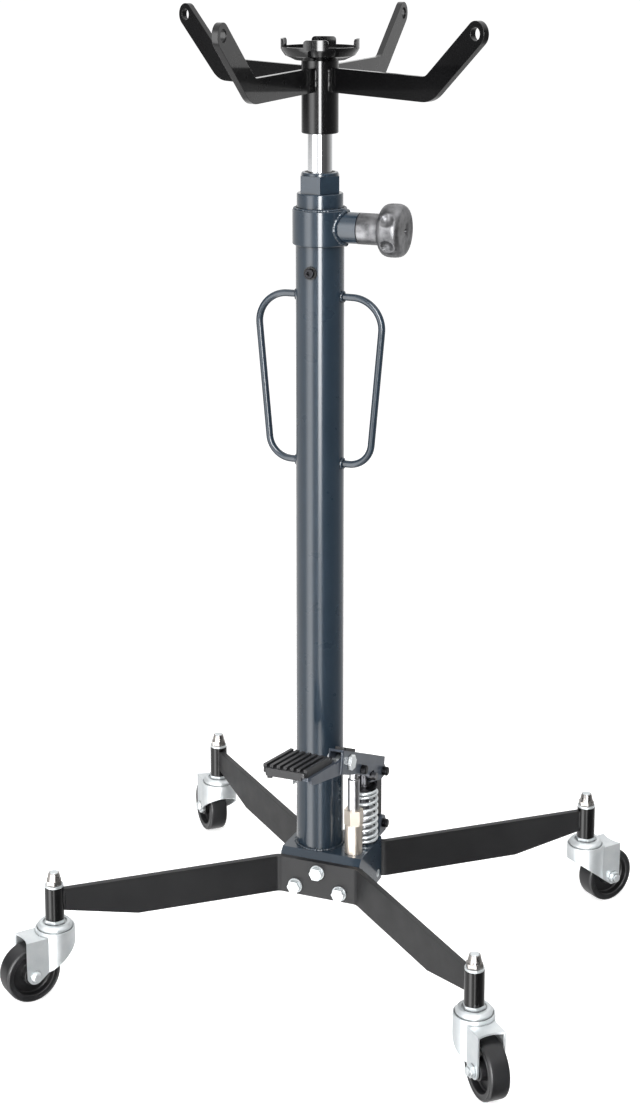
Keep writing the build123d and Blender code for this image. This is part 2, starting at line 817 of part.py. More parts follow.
# upper raceway: a dished sheet ring with a rounded hump over the balls
with BuildPart() as race:
    with BuildSketch(Plane.XZ):
        with BuildLine():
            Polyline(
                (stem_r + fit, stem_collar_bottom - race_sheet),
                (stem_r + fit, stem_collar_bottom),
                (hump_inner_r - edge_break, stem_collar_bottom),
                (hump_inner_r, hump_top),
                (hump_outer_r, hump_top),
                (race_r, hump_shoulder),
                (race_r, race_foot),
                (race_r - race_sheet, race_foot),
                (race_r - race_sheet, hump_shoulder - edge_break),
                (hump_outer_r, hump_top - race_sheet),
                (hump_inner_r, hump_top - race_sheet),
                (hump_inner_r - edge_break, stem_collar_bottom - race_sheet),
                close=True,
            )
        make_face()
    revolve(axis=Axis.Z)
    fillet(race.edges().filter_by(GeomType.CIRCLE).group_by(Axis.Z)[-1], edge_break)
save(at_casters(race.part), "upper_races")

race_ball_z = crown_top + race_lift + gap + race_ball_r
with BuildPart() as ball_set:
    with Locations((0, 0, race_ball_z)):
        with PolarLocations(race_ball_ring_r, balls_per_race):
            Sphere(race_ball_r)
save(at_casters(ball_set.part), "race_balls")

# the fork, made with its tail along +X
with BuildPart() as fork:
    with BuildSketch(level(crown_top)):
        Circle(fork_race_r)
        with Locations((fork_tail / 2, 0)):
            Rectangle(fork_tail, 2 * fork_half_width)
        with Locations((fork_tail + tail_notch_r - tail_notch, 0)):
            Circle(tail_notch_r, mode=Mode.SUBTRACT)
    extrude(amount=-crown_top + fork_boss_r)
    with BuildSketch(level(crown_bottom)):
        Circle(fork_race_r - fork_sheet)
        with Locations((fork_tail, 0)):
            Rectangle(2 * fork_tail, 2 * (fork_half_width - fork_sheet))
    extrude(amount=-crown_bottom, mode=Mode.SUBTRACT)
    # the cheeks narrow down to the axle
    with BuildSketch(Plane.XZ):
        with BuildLine():
            Polyline(
                (-fork_race_r, crown_top),
                (fork_tail, crown_top),
                (fork_tail, crown_top - fork_side_drop),
                (-fork_race_r, crown_top - fork_side_drop),
                close=True,
            )
        make_face()
        with Locations((trail, wheel_r)):
            Circle(fork_boss_r)
        make_hull()
    extrude(amount=fork_race_r, both=True, mode=Mode.INTERSECT)
    # lower raceway, pressed up from the crown, with a rim round the upper one
    with BuildSketch(Plane.XZ):
        with BuildLine():
            Polyline(
                (0, crown_bottom),
                (0, crown_top),
                (race_ball_ring_r - track_half - track_slope, crown_top),
                (race_ball_ring_r - track_half, crown_top + race_lift),
                (race_ball_ring_r + track_half, crown_top + race_lift),
                (race_ball_ring_r + track_half + track_slope, crown_top),
                (race_r + edge_break, crown_top),
                (race_r + edge_break, crown_top + race_rim),
                (fork_race_r, crown_top + race_rim),
                (fork_race_r, crown_bottom),
                close=True,
            )
        make_face()
    revolve(axis=Axis.Z)
    with Locations((0, 0, crown_top + race_lift)):
        Hole(stem_r + fit)
    with BuildSketch(Plane(origin=(trail, 0, wheel_r), x_dir=(1, 0, 0), z_dir=(0, -1, 0))):
        Circle(axle_r + fit)
    extrude(amount=fork_race_r, both=True, mode=Mode.SUBTRACT)

with BuildPart() as wheel:
    with BuildSketch(Plane.XY):
        with BuildLine():
            Polyline(
                (bush_r + fit, -wheel_hub_width / 2),
                (wheel_hub_r, -wheel_hub_width / 2),
                (wheel_hub_r + edge_break, -wheel_web / 2),
                (wheel_r - wheel_rim - edge_break, -wheel_web / 2),
                (wheel_r - wheel_rim, -wheel_width / 2),
                (wheel_r, -wheel_width / 2),
                (wheel_r, wheel_width / 2),
                (wheel_r - wheel_rim, wheel_width / 2),
                (wheel_r - wheel_rim - edge_break, wheel_web / 2),
                (wheel_hub_r + edge_break, wheel_web / 2),
                (wheel_hub_r, wheel_hub_width / 2),
                (bush_r + fit, wheel_hub_width / 2),
                close=True,
            )
        make_face()
    revolve(axis=Axis.Y)
    fillet(wheel.edges().filter_by(GeomType.CIRCLE).group_by(SortBy.RADIUS)[-1], wheel_shoulder)

axle_end = fork_half_width + 9.0
axle_nut_height = 6.0
axle_head = 5.0
axle_plane = Plane(origin=(0, 0, 0), x_dir=(1, 0, 0), z_dir=(0, -1, 0))
with BuildPart() as axle_set:
    # bolt with a domed head on the +Y side
    with BuildSketch(axle_plane.offset(-fork_half_width)):
        Circle(axle_r)
    extrude(amount=fork_half_width + axle_end)
    with BuildSketch(axle_plane.offset(-fork_half_width - axle_head)):
        Circle(axle_head_r)
    extrude(amount=axle_head)
    fillet(axle_set.faces().sort_by(Axis.Y)[-1].edges(), axle_head - gap)
with BuildPart() as axle_nut:
    with BuildSketch(axle_plane.offset(fork_half_width)):
        RegularPolygon(axle_nut_flats / 2, 6, major_radius=False)
        Circle(axle_r + fit, mode=Mode.SUBTRACT)
    extrude(amount=axle_nut_height)
bush_half = fork_half_width - fork_sheet - fit
bush = ring(axle_plane.offset(-bush_half), bush_r, axle_r + fit, 2 * bush_half)

for number, (place, turn) in enumerate(zip(caster_places, caster_turns), start=1):
    swivel = Location((place[0], place[1], 0), (0, 0, turn))
    hub = swivel * Location((trail, 0, wheel_r))
    with BuildPart() as placed_fork:
        with Locations(swivel):
            add(fork.part)
    save(placed_fork, f"fork_{number}")
    with BuildPart() as placed_axle:
        with Locations(hub):
            add(axle_set.part)
            add(axle_nut.part)
            add(bush.part)
    save(placed_axle, f"axle_{number}")
    with BuildPart() as placed_wheel:
        with Locations(hub):
            add(wheel.part)
    save(placed_wheel, f"wheel_{number}")

# ---- pumps ----
thread_foot = block_top - pump_thread_depth
plunger_reserve = 1.0
spring_top = block_top + spring_height
spring_cap_r = spring_r - spring_wire_r
spring_cap_height = 3.0
spring_cap_top = spring_top + spring_cap_height


def pump_body(y, radius, height, plunger_r):
    """A round pump barrel with a smaller threaded end in the block, bored right through."""
    with BuildPart() as piece:
        with BuildSketch(level(thread_foot, pump_x, y)):
            Circle(radius - thread_step)
        extrude(amount=pump_thread_depth)
        with BuildSketch(level(block_top, pump_x, y)):
            Circle(radius)
        extrude(amount=height)
        with Locations((pump_x, y, block_top + height)):
            Hole(plunger_r + fit)
    return piece


save(pump_body(main_pump_y, main_body_r, main_body_height, main_plunger_r), "main_pump_body")

fast_barrel = pump_body(fast_pump_y, fast_body_r, fast_body_height, fast_plunger_r)
with BuildPart() as fast_pump_body:
    add(fast_barrel.part)
    with BuildSketch(level(block_top + fast_body_height, pump_x, fast_pump_y)):
        RegularPolygon(fast_hex_flats / 2, 6, major_radius=False, rotation=fast_hex_turn)
        Circle(fast_plunger_r + fit, mode=Mode.SUBTRACT)
    extrude(amount=fast_hex_height)
save(fast_pump_body, "fast_pump_body")

# the fast plunger is only pushed by its pin, through a smaller end
fast_plunger_foot = thread_foot + fast_stroke + plunger_reserve
fast_cap_top = fast_pin_z - lever_pin_r - gap
fast_cap_height = 9.2
fast_cap_r = 6.0
fast_shoulder = fast_cap_top - fast_cap_height
with BuildPart() as fast_plunger:
    with BuildSketch(level(fast_plunger_foot, pump_x, fast_pump_y)):
        Circle(fast_plunger_r)
    extrude(amount=fast_shoulder - fast_plunger_foot)
    chamfer(fast_plunger.faces().sort_by(Axis.Z)[-1].edges(), edge_break)
    with BuildSketch(level(fast_shoulder, pump_x, fast_pump_y)):
        Circle(fast_cap_r)
    extrude(amount=fast_cap_height)
    chamfer(fast_plunger.faces().sort_by(Axis.Z)[-1].edges(), edge_break)
save(fast_plunger, "fast_plunger")

# the main plunger carries the spring cap under a flange, and its cross pin rides in the lever's slot
main_plunger_foot = thread_foot + main_stroke + plunger_reserve
flange_r = 8.6
flange_height = 2.0
pin_plane = facing((1, 0, 0), pump_x - lever_width / 2 - edge_break, main_pump_y, main_pin_z)
with BuildPart() as main_plunger:
    with BuildSketch(level(main_plunger_foot, pump_x, main_pump_y)):
        Circle(main_plunger_r)
    extrude(amount=main_pin_z + main_plunger_r - main_plunger_foot)
    chamfer(main_plunger.faces().sort_by(Axis.Z)[-1].edges(), edge_break)
    with BuildSketch(level(spring_cap_top, pump_x, main_pump_y)):
        Circle(flange_r)
    extrude(amount=flange_height)
    with BuildSketch(pin_plane):
        Circle(cross_pin_r)
    extrude(amount=lever_width + edge_break + pin_head)
save(main_plunger, "main_plunger")

cap_plane = level(spring_top, pump_x, main_pump_y)
save(ring(cap_plane, spring_cap_r, main_plunger_r + fit, spring_cap_height), "spring_cap")

coil_r = spring_r - spring_wire_r
coil_rise = spring_height - 2 * spring_wire_r
with BuildPart() as return_spring:
    with BuildLine(level(block_top + spring_wire_r, pump_x, main_pump_y)):
        coil = Helix(coil_rise / spring_turns, coil_rise, coil_r)
    with BuildSketch(Plane(origin=coil @ 0, z_dir=coil % 0)):
        Circle(spring_wire_r - fit)
    sweep(is_frenet=True)
save(return_spring, "return_spring")

# ---- pump lever: a channel open below ----
lever_side = facing((1, 0, 0), pump_x, 0, 0)
lever_inner = lever_width / 2 - lever_wall
lever_run = lever_top_rear[0] - lever_top_front[0]
lever_fall = lever_top_front[1] - lever_top_rear[1]
sheet_drop = lever_wall * hypot(lever_run, lever_fall) / lever_run
with BuildPart() as pump_lever:
    with BuildSketch(lever_side):
        with BuildLine():
            Polyline(
                lever_top_front,
                lever_top_rear,
                (fulcrum_y, fulcrum_z - lobe_r),
                (fulcrum_y - lobe_r, fulcrum_z - lobe_r),
                (main_pump_y, main_pin_z - lobe_r),
                (main_pump_y - waist_length, main_pin_z + slot_r),
                (fast_pin_y - waist_end, fast_pin_z - lever_wall),
                (pedal_bolt_y - lever_wall, pedal_bolt_z - nose_depth),
                (pedal_bolt_y - nose_length, pedal_bolt_z - slot_r),
                close=True,
            )
        make_face()
        with Locations((fulcrum_y, fulcrum_z), (main_pump_y, main_pin_z)):
            Circle(lobe_r)
    extrude(amount=lever_width / 2, both=True)
    top_face = pump_lever.faces().sort_by(Axis.Z)[-1]
    fillet(top_face.edges().filter_by(Axis.X, reverse=True), lever_wall - 0.5)
    # the hollow under the top sheet
    with BuildSketch(lever_side):
        with BuildLine():
            Polyline(
                (lever_top_front[0] - lever_run / 4, lever_top_front[1] + lever_fall / 4 - sheet_drop),
                (lever_top_rear[0] + lever_run / 4, lever_top_rear[1] - lever_fall / 4 - sheet_drop),
                (lever_top_rear[0] + lever_run / 4, link_foot_z),
                (lever_top_front[0] - lever_run / 4, link_foot_z),
                close=True,
            )
        make_face()
    extrude(amount=lever_inner, both=True, mode=Mode.SUBTRACT)
    with BuildSketch(lever_side):
        with Locations((fulcrum_y, fulcrum_z), (fast_pin_y, fast_pin_z)):
            Circle(lever_pin_r + fit)
        with Locations((pedal_bolt_y, pedal_bolt_z)):
            Circle(pedal_bolt_r + fit)
        with Locations((main_pump_y, main_pin_z)):
            SlotCenterToCenter(2 * slot_half, 2 * slot_r)
    extrude(amount=lever_width, both=True, mode=Mode.SUBTRACT)
save(pump_lever, "pump_lever")

with BuildPart() as fulcrum_link:
    with BuildSketch(lever_side):
        with Locations((fulcrum_y, fulcrum_z), (fulcrum_y, link_foot_z)):
            Circle(lobe_r)
        make_hull()
        with Locations((fulcrum_y, fulcrum_z), (fulcrum_y, link_foot_z)):
            Circle(lever_pin_r + fit, mode=Mode.SUBTRACT)
    extrude(amount=link_width / 2, both=True)
save(fulcrum_link, "fulcrum_link")


def cross_pin(y, height, half_width):
    """A headed pin across two cheeks, riveted over on the far side."""
    near = pump_x + half_width + gap
    far = pump_x - half_width - gap
    with BuildPart() as piece:
        with BuildSketch(facing((1, 0, 0), far, y, height)):
            Circle(lever_pin_r)
        extrude(amount=near - far)
        with BuildSketch(facing((1, 0, 0), near, y, height)):
            Circle(pin_head_r)
        extrude(amount=pin_head)
        chamfer(piece.faces().sort_by(Axis.X)[-1].edges(), edge_break)
        with BuildSketch(facing((-1, 0, 0), far, y, height)):
            Circle(pin_head_r - edge_break)
        extrude(amount=rivet_end)
    return piece


save(cross_pin(fast_pin_y, fast_pin_z, lever_width / 2), "fast_pump_pin")
with BuildPart() as link_pins:
    add(cross_pin(fulcrum_y, fulcrum_z, lever_width / 2).part)
    add(cross_pin(fulcrum_y, link_foot_z, lever_width / 2).part)
save(link_pins, "link_pins")

# the lug that holds the link's foot stands on the back of the block, over the rear leg
lug_bottom = leg_top + edge_break
lug_depth = 35.0
lug_cheek_r = 11.0
with BuildPart() as link_lug:
    with BuildSketch(facing((1, 0, 0), pump_x, 0, 0)):
        with Locations((fulcrum_y, link_foot_z)):
            Circle(lug_cheek_r)
        with Locations((fulcrum_y, (lug_bottom + block_top) / 2)):
            Rectangle(2 * (lug_cheek_r + edge_break), block_top - lug_bottom)
        make_hull()
        with BuildLine():
            Polyline(
                (half_block_y, lug_bottom),
                (half_block_y + lug_depth, lug_bottom),
                (half_block_y + lug_depth, block_top - edge_break),
                (half_block_y, block_top - edge_break),
                close=True,
            )
        make_face()
    extrude(amount=lever_width / 2, both=True)
    with BuildSketch(facing((1, 0, 0), pump_x, fulcrum_y, link_foot_z)):
        with Locations((0, (lug_cheek_r - lobe_r) / 2)):
            Rectangle(4 * lug_cheek_r, lug_cheek_r + lobe_r + 2 * gap)
    extrude(amount=link_width / 2 + gap, both=True, mode=Mode.SUBTRACT)
    with BuildSketch(facing((1, 0, 0), pump_x, fulcrum_y, link_foot_z)):
        Circle(lever_pin_r + fit)
    extrude(amount=lever_width, both=True, mode=Mode.SUBTRACT)
save(link_lug, "link_lug")

# ---- pedal ----
tilt = radians(pad_tilt)
pad_middle_x = pad_right_x - pad_width / 2
pad_plane = Plane(
    origin=(pad_middle_x, pad_rear_y, pad_rear_z),
    x_dir=(1, 0, 0),
    z_dir=(0, sin(tilt), cos(tilt)),
)
plate_right = pump_x + lever_inner
plate_left = pad_right_x - pad_width + pad_lip
rib_pitch = (pad_width - pad_rib_width) / (pad_ribs - 1)
pad_bolt_place = (pad_bolt_x - pad_middle_x, -pad_bolt_from_rear)
pad_corner = 6.0
peg_r = 3.5
peg_height = 4.0
slope = degrees(atan2(lever_fall, lever_run))
tongue_length = 42.0
tongue_height = 4.0
tongue_from = 14.0
tongue_plane = Plane(
    origin=(pump_x, lever_top_front[0], lever_top_front[1]),
    x_dir=(0, cos(radians(slope)), -sin(radians(slope))),
    z_dir=(0, sin(radians(slope)), cos(radians(slope))),
)

with BuildPart() as pad:
    with BuildSketch(pad_plane):
        with Locations((0, -pad_length / 2)):
            RectangleRounded(pad_width, pad_length, pad_corner)
    extrude(amount=pad_base)
    # lip over the front of the plate
    with BuildSketch(pad_plane):
        with Locations((0, pad_lip / 2 - pad_length)):
            Rectangle(pad_width - 2 * pad_corner, pad_lip)
    extrude(amount=-plate_sheet)
    for rib in range(pad_ribs):
        rib_x = rib * rib_pitch - (pad_width - pad_rib_width) / 2
        rib_length = pad_length - pad_corner - rib * pad_lip
        with BuildSketch(pad_plane.offset(pad_base)):
            with Locations((rib_x, rib_length / 2 + pad_corner / 2 - pad_length)):
                Rectangle(pad_rib_width, rib_length)
        extrude(amount=pad_rib)
    # room for the bolt's head and shank
    with BuildSketch(pad_plane):
        with Locations(pad_bolt_place):
            Circle(pad_bolt_flats / 2 + fit)
    extrude(amount=pad_base - edge_break, mode=Mode.SUBTRACT)

with BuildPart() as tongue:
    with BuildSketch(tongue_plane):
        with Locations((tongue_from + tongue_length / 2, 0)):
            RectangleRounded(tongue_length, lever_width - 2 * lever_wall, lever_wall)
    extrude(amount=tongue_height)

with BuildPart() as peg:
    with BuildSketch(pad_plane.offset(-plate_sheet)):
        with Locations((plate_left + pad_corner - pad_middle_x, pad_corner + pad_lip - pad_length)):
            Circle(peg_r)
    extrude(amount=-peg_height)

with BuildPart() as pedal_pad:
    add(pad.part)
    add(tongue.part)
    add(peg.part)
save(pedal_pad, "pedal_pad")

flange_x = plate_right - plate_sheet
plate_length = pad_length - pad_lip - gap
flange_front = pad_rear_y - plate_length * cos(tilt) + pad_corner
flange_front_z = pad_rear_z + plate_length * sin(tilt)
with BuildPart() as pedal_arm:
    with BuildSketch(pad_plane):
        with Locations(((plate_left + plate_right) / 2 - pad_middle_x, -plate_length / 2)):
            RectangleRounded(plate_right - plate_left, plate_length, pad_corner)
    extrude(amount=-plate_sheet)
    with BuildSketch(facing((1, 0, 0), flange_x, 0, 0)):
        with BuildLine():
            Polyline(
                (flange_front, flange_front_z - pad_corner / 2),
                (flange_front, flange_front_z - flange_lobe_r),
                (flange_front + pad_corner, flange_front_z - flange_depth),
                (pedal_bolt_y - 2 * flange_lobe_r, pedal_bolt_z - flange_lobe_r),
                (pedal_bolt_y, pedal_bolt_z - flange_lobe_r),
                (pedal_bolt_y, pedal_bolt_z + flange_lobe_r),
                (pad_rear_y, pad_rear_z - plate_sheet / 2),
                close=True,
            )
        make_face()
        with Locations((pedal_bolt_y, pedal_bolt_z)):
            Circle(flange_lobe_r)
            Circle(pedal_bolt_r + fit, mode=Mode.SUBTRACT)
    extrude(amount=plate_sheet)
    with BuildSketch(pad_plane):
        with Locations(pad_bolt_place):
            Circle(pad_bolt_r + fit)
    extrude(amount=-plate_sheet, mode=Mode.SUBTRACT)
save(pedal_arm, "pedal_arm")

pedal_spacer_r = 8.5
pedal_bolt_plane = facing((1, 0, 0), pump_x - lever_width / 2, pedal_bolt_y, pedal_bolt_z)
pedal_nut_height = 8.0
thread_out = 2.0           # thread standing out of a nut
pad_washer_height = 1.5
pad_nut_height = 6.5
pad_bolt_head = pad_base - 2 * edge_break
with BuildPart() as pedal_bolt:
    with BuildSketch(pedal_bolt_plane.offset(-pedal_nut_height - thread_out)):
        Circle(pedal_bolt_r)
    extrude(amount=lever_width + pedal_nut_height + thread_out)
    with BuildSketch(pedal_bolt_plane.offset(lever_width)):
        RegularPolygon(pedal_bolt_flats / 2, 6, major_radius=False)
    extrude(amount=pedal_bolt_head)
with BuildPart() as pedal_nut:
    with BuildSketch(pedal_bolt_plane):
        RegularPolygon(pedal_bolt_flats / 2, 6, major_radius=False)
        Circle(pedal_bolt_r + fit, mode=Mode.SUBTRACT)
    extrude(amount=-pedal_nut_height)
pedal_spacer = ring(
    pedal_bolt_plane.offset(lever_wall), pedal_spacer_r, pedal_bolt_r + fit, flange_x - pump_x + lever_inner
)
with BuildPart() as pad_bolt:
    with BuildSketch(pad_plane):
        with Locations(pad_bolt_place):
            RegularPolygon(pad_bolt_flats / 2, 6)
    extrude(amount=pad_bolt_head)
    with BuildSketch(pad_plane):
        with Locations(pad_bolt_place):
            Circle(pad_bolt_r)
    extrude(amount=-plate_sheet - pad_washer_height - pad_nut_height - thread_out)
with BuildPart() as pad_nut:
    with BuildSketch(pad_plane.offset(-plate_sheet)):
        with Locations(pad_bolt_place):
            Circle(pad_bolt_flats / 2 + pad_washer_height)
            Circle(pad_bolt_r + fit, mode=Mode.SUBTRACT)
    extrude(amount=-pad_washer_height)
    with BuildSketch(pad_plane.offset(-plate_sheet - pad_washer_height)):
        with Locations(pad_bolt_place):
            RegularPolygon(pad_bolt_flats / 2, 6, major_radius=False)
            Circle(pad_bolt_r + fit, mode=Mode.SUBTRACT)
    extrude(amount=-pad_nut_height)
with BuildPart() as pedal_bolts:
    add(pedal_bolt.part)
    add(pedal_nut.part)
    add(pedal_spacer.part)
    add(pad_bolt.part)
    add(pad_nut.part)
save(pedal_bolts, "pedal_bolts")

# ---- saddle ----
cup_bottom = sleeve_top
cup_rim = cup_bottom + cup_depth
cup_foot_r = 33.0
cup_belly_r = 45.0
cup_belly_z = 5.7
cup_shoulder_z = 12.1
claw_root = 3.0
claw_corner = 4.5
with BuildPart() as saddle_sleeve:
    with BuildSketch(level(sleeve_bottom, column_x)):
        Circle(sleeve_r)
    extrude(amount=sleeve_length)
    chamfer(saddle_sleeve.faces().sort_by(Axis.Z)[0].edges(), edge_break)
    with BuildSketch(level(sleeve_bottom, column_x)):
        Circle(ram_r + fit)
    extrude(amount=sleeve_socket, mode=Mode.SUBTRACT)
    with Locations((column_x, 0, sleeve_top)):
        Hole(cup_stem_r + fit, cup_stem_length)
save(saddle_sleeve, "saddle_sleeve")

with BuildPart() as saddle_cup:
    with BuildSketch(Plane(origin=(column_x, 0, cup_bottom), x_dir=(1, 0, 0), z_dir=(0, -1, 0))):
        with BuildLine():
            Polyline(
                (0, -cup_stem_length),
                (cup_stem_r, -cup_stem_length),
                (cup_stem_r, 0),
                (cup_foot_r, 0),
                (cup_belly_r, cup_belly_z),
                (cup_r - edge_break, cup_shoulder_z),
                (cup_r, cup_depth),
                (cup_r - cup_wall, cup_depth),
                (cup_r - cup_wall - edge_break, cup_shoulder_z + edge_break),
                (cup_belly_r - cup_wall, cup_belly_z + edge_break),
                (cup_foot_r - edge_break, cup_wall),
                (0, cup_wall),
                close=True,
            )
        make_face()
    revolve(axis=Axis((column_x, 0, 0), (0, 0, 1)))
    # four claws stand on the rim
    for turn in range(4):
        angle = radians(claw_turn + 90 * turn)
        outward = Vector(cos(angle), sin(angle), 0)
        claw_plane = Plane(
            origin=Vector(column_x, 0, cup_rim) + outward * (cup_r / 2),
            x_dir=(-outward.Y, outward.X, 0),
            z_dir=outward,
        )
        with BuildSketch(claw_plane):
            with Locations((0, (claw_height - claw_root) / 2)):
                RectangleRounded(claw_width, claw_height + claw_root, claw_corner)
        extrude(amount=cup_r)
    # inside and outside of the claws follow the rim
    with BuildSketch(level(cup_rim - claw_root - edge_break, column_x)):
        Circle(cup_r - cup_wall)
    extrude(amount=claw_height + claw_root + 2 * edge_break, mode=Mode.SUBTRACT)
    with BuildSketch(level(cup_rim - claw_root - edge_break, column_x)):
        Circle(2 * cup_r)
        Circle(cup_r, mode=Mode.SUBTRACT)
    extrude(amount=claw_height + claw_root + 2 * edge_break, mode=Mode.SUBTRACT)
save(saddle_cup, "saddle_cup")

arm_middle_z = sleeve_bottom + arm_above_sleeve_end + arm_width / 2
arm_half = arm_width / 2
arm_slope = atan2(arm_rise, arm_reach - arm_elbow)
corner_shift = arm_half * tan(arm_slope / 2)
tip_shift_x = arm_half * sin(arm_slope)
tip_shift_z = arm_half * cos(arm_slope)
with BuildPart() as cradle_arm:
    with BuildSketch(Plane.XZ) as arm_outline:
        with BuildLine():
            Polyline(
                (0, -arm_half),
                (arm_elbow + corner_shift, -arm_half),
                (arm_reach + tip_shift_x, arm_rise - tip_shift_z),
                (arm_reach - tip_shift_x, arm_rise + tip_shift_z),
                (arm_elbow - corner_shift, arm_half),
                (0, arm_half),
                close=True,
            )
        make_face()
        fillet(arm_outline.vertices().sort_by_distance((arm_elbow, 2 * arm_width))[0], arm_inner_bend)
        fillet(arm_outline.vertices().sort_by_distance((arm_elbow, -2 * arm_width))[0], arm_outer_bend)
        with Locations((arm_reach, arm_rise)):
            Circle(arm_half)
            Circle(arm_hole_r, mode=Mode.SUBTRACT)
    extrude(amount=arm_thickness / 2, both=True)
    # the inner end is cut to lie on the sleeve
    with BuildSketch(level(-arm_width)):
        Circle(sleeve_r)
    extrude(amount=2 * arm_width, mode=Mode.SUBTRACT)
with BuildPart() as cradle_arms:
    for turn in arm_turns:
        with Locations(Location((column_x, 0, arm_middle_z), (0, 0, turn))):
            add(cradle_arm.part)
save(cradle_arms, "cradle_arms")
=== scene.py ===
import json
import math
import random

import bmesh
import bpy
from mathutils import Matrix, Vector


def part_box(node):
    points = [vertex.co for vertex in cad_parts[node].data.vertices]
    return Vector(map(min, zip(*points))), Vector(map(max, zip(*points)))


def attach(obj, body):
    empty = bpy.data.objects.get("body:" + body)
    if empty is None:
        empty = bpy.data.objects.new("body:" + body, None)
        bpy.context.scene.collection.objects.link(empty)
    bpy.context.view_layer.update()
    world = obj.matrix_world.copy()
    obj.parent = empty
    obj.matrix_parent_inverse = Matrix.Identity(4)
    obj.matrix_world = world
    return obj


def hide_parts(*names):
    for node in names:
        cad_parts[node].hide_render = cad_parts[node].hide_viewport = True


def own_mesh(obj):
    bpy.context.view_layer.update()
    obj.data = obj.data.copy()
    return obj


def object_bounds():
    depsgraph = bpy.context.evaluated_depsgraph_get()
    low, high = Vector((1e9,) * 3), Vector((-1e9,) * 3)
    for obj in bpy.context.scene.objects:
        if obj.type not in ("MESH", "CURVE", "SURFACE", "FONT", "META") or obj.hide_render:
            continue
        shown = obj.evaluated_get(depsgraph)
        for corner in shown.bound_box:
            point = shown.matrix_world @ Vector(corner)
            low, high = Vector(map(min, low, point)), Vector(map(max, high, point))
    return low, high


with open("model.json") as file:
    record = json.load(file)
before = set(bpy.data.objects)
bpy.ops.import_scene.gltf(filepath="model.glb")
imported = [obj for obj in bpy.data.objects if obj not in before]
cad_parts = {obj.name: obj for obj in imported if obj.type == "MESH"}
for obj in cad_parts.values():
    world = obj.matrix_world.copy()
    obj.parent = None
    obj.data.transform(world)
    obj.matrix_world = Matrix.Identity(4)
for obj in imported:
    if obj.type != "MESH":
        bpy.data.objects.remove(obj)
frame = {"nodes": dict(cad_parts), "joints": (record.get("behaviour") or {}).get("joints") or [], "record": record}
cad_low, cad_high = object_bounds()
nodes = frame["nodes"]

# ---- camera ----
COLUMN_X = -0.017            # the column's axis, in metres
VIEW_TURN = math.radians(22.346)
VIEW_PITCH = math.radians(10.068)
VIEW_DISTANCE = 2.702
VIEW_HEIGHT = 1.399

camera = bpy.data.objects.new("camera", bpy.data.cameras.new("camera"))
bpy.context.scene.collection.objects.link(camera)
camera.data.sensor_width = 36
camera.data.lens = 68.81
camera.data.shift_y = -0.2415
camera.location = (
    COLUMN_X + VIEW_DISTANCE * math.sin(VIEW_TURN),
    -VIEW_DISTANCE * math.cos(VIEW_TURN),
    VIEW_HEIGHT,
)
camera.rotation_euler = (math.pi / 2 - VIEW_PITCH, 0, VIEW_TURN)
bpy.context.scene.camera = camera


# ---- material kit ----
NOISE_ROUGHNESS = 0.55
RANGE_SOCKETS = ("From Min", "From Max", "To Min", "To Max")


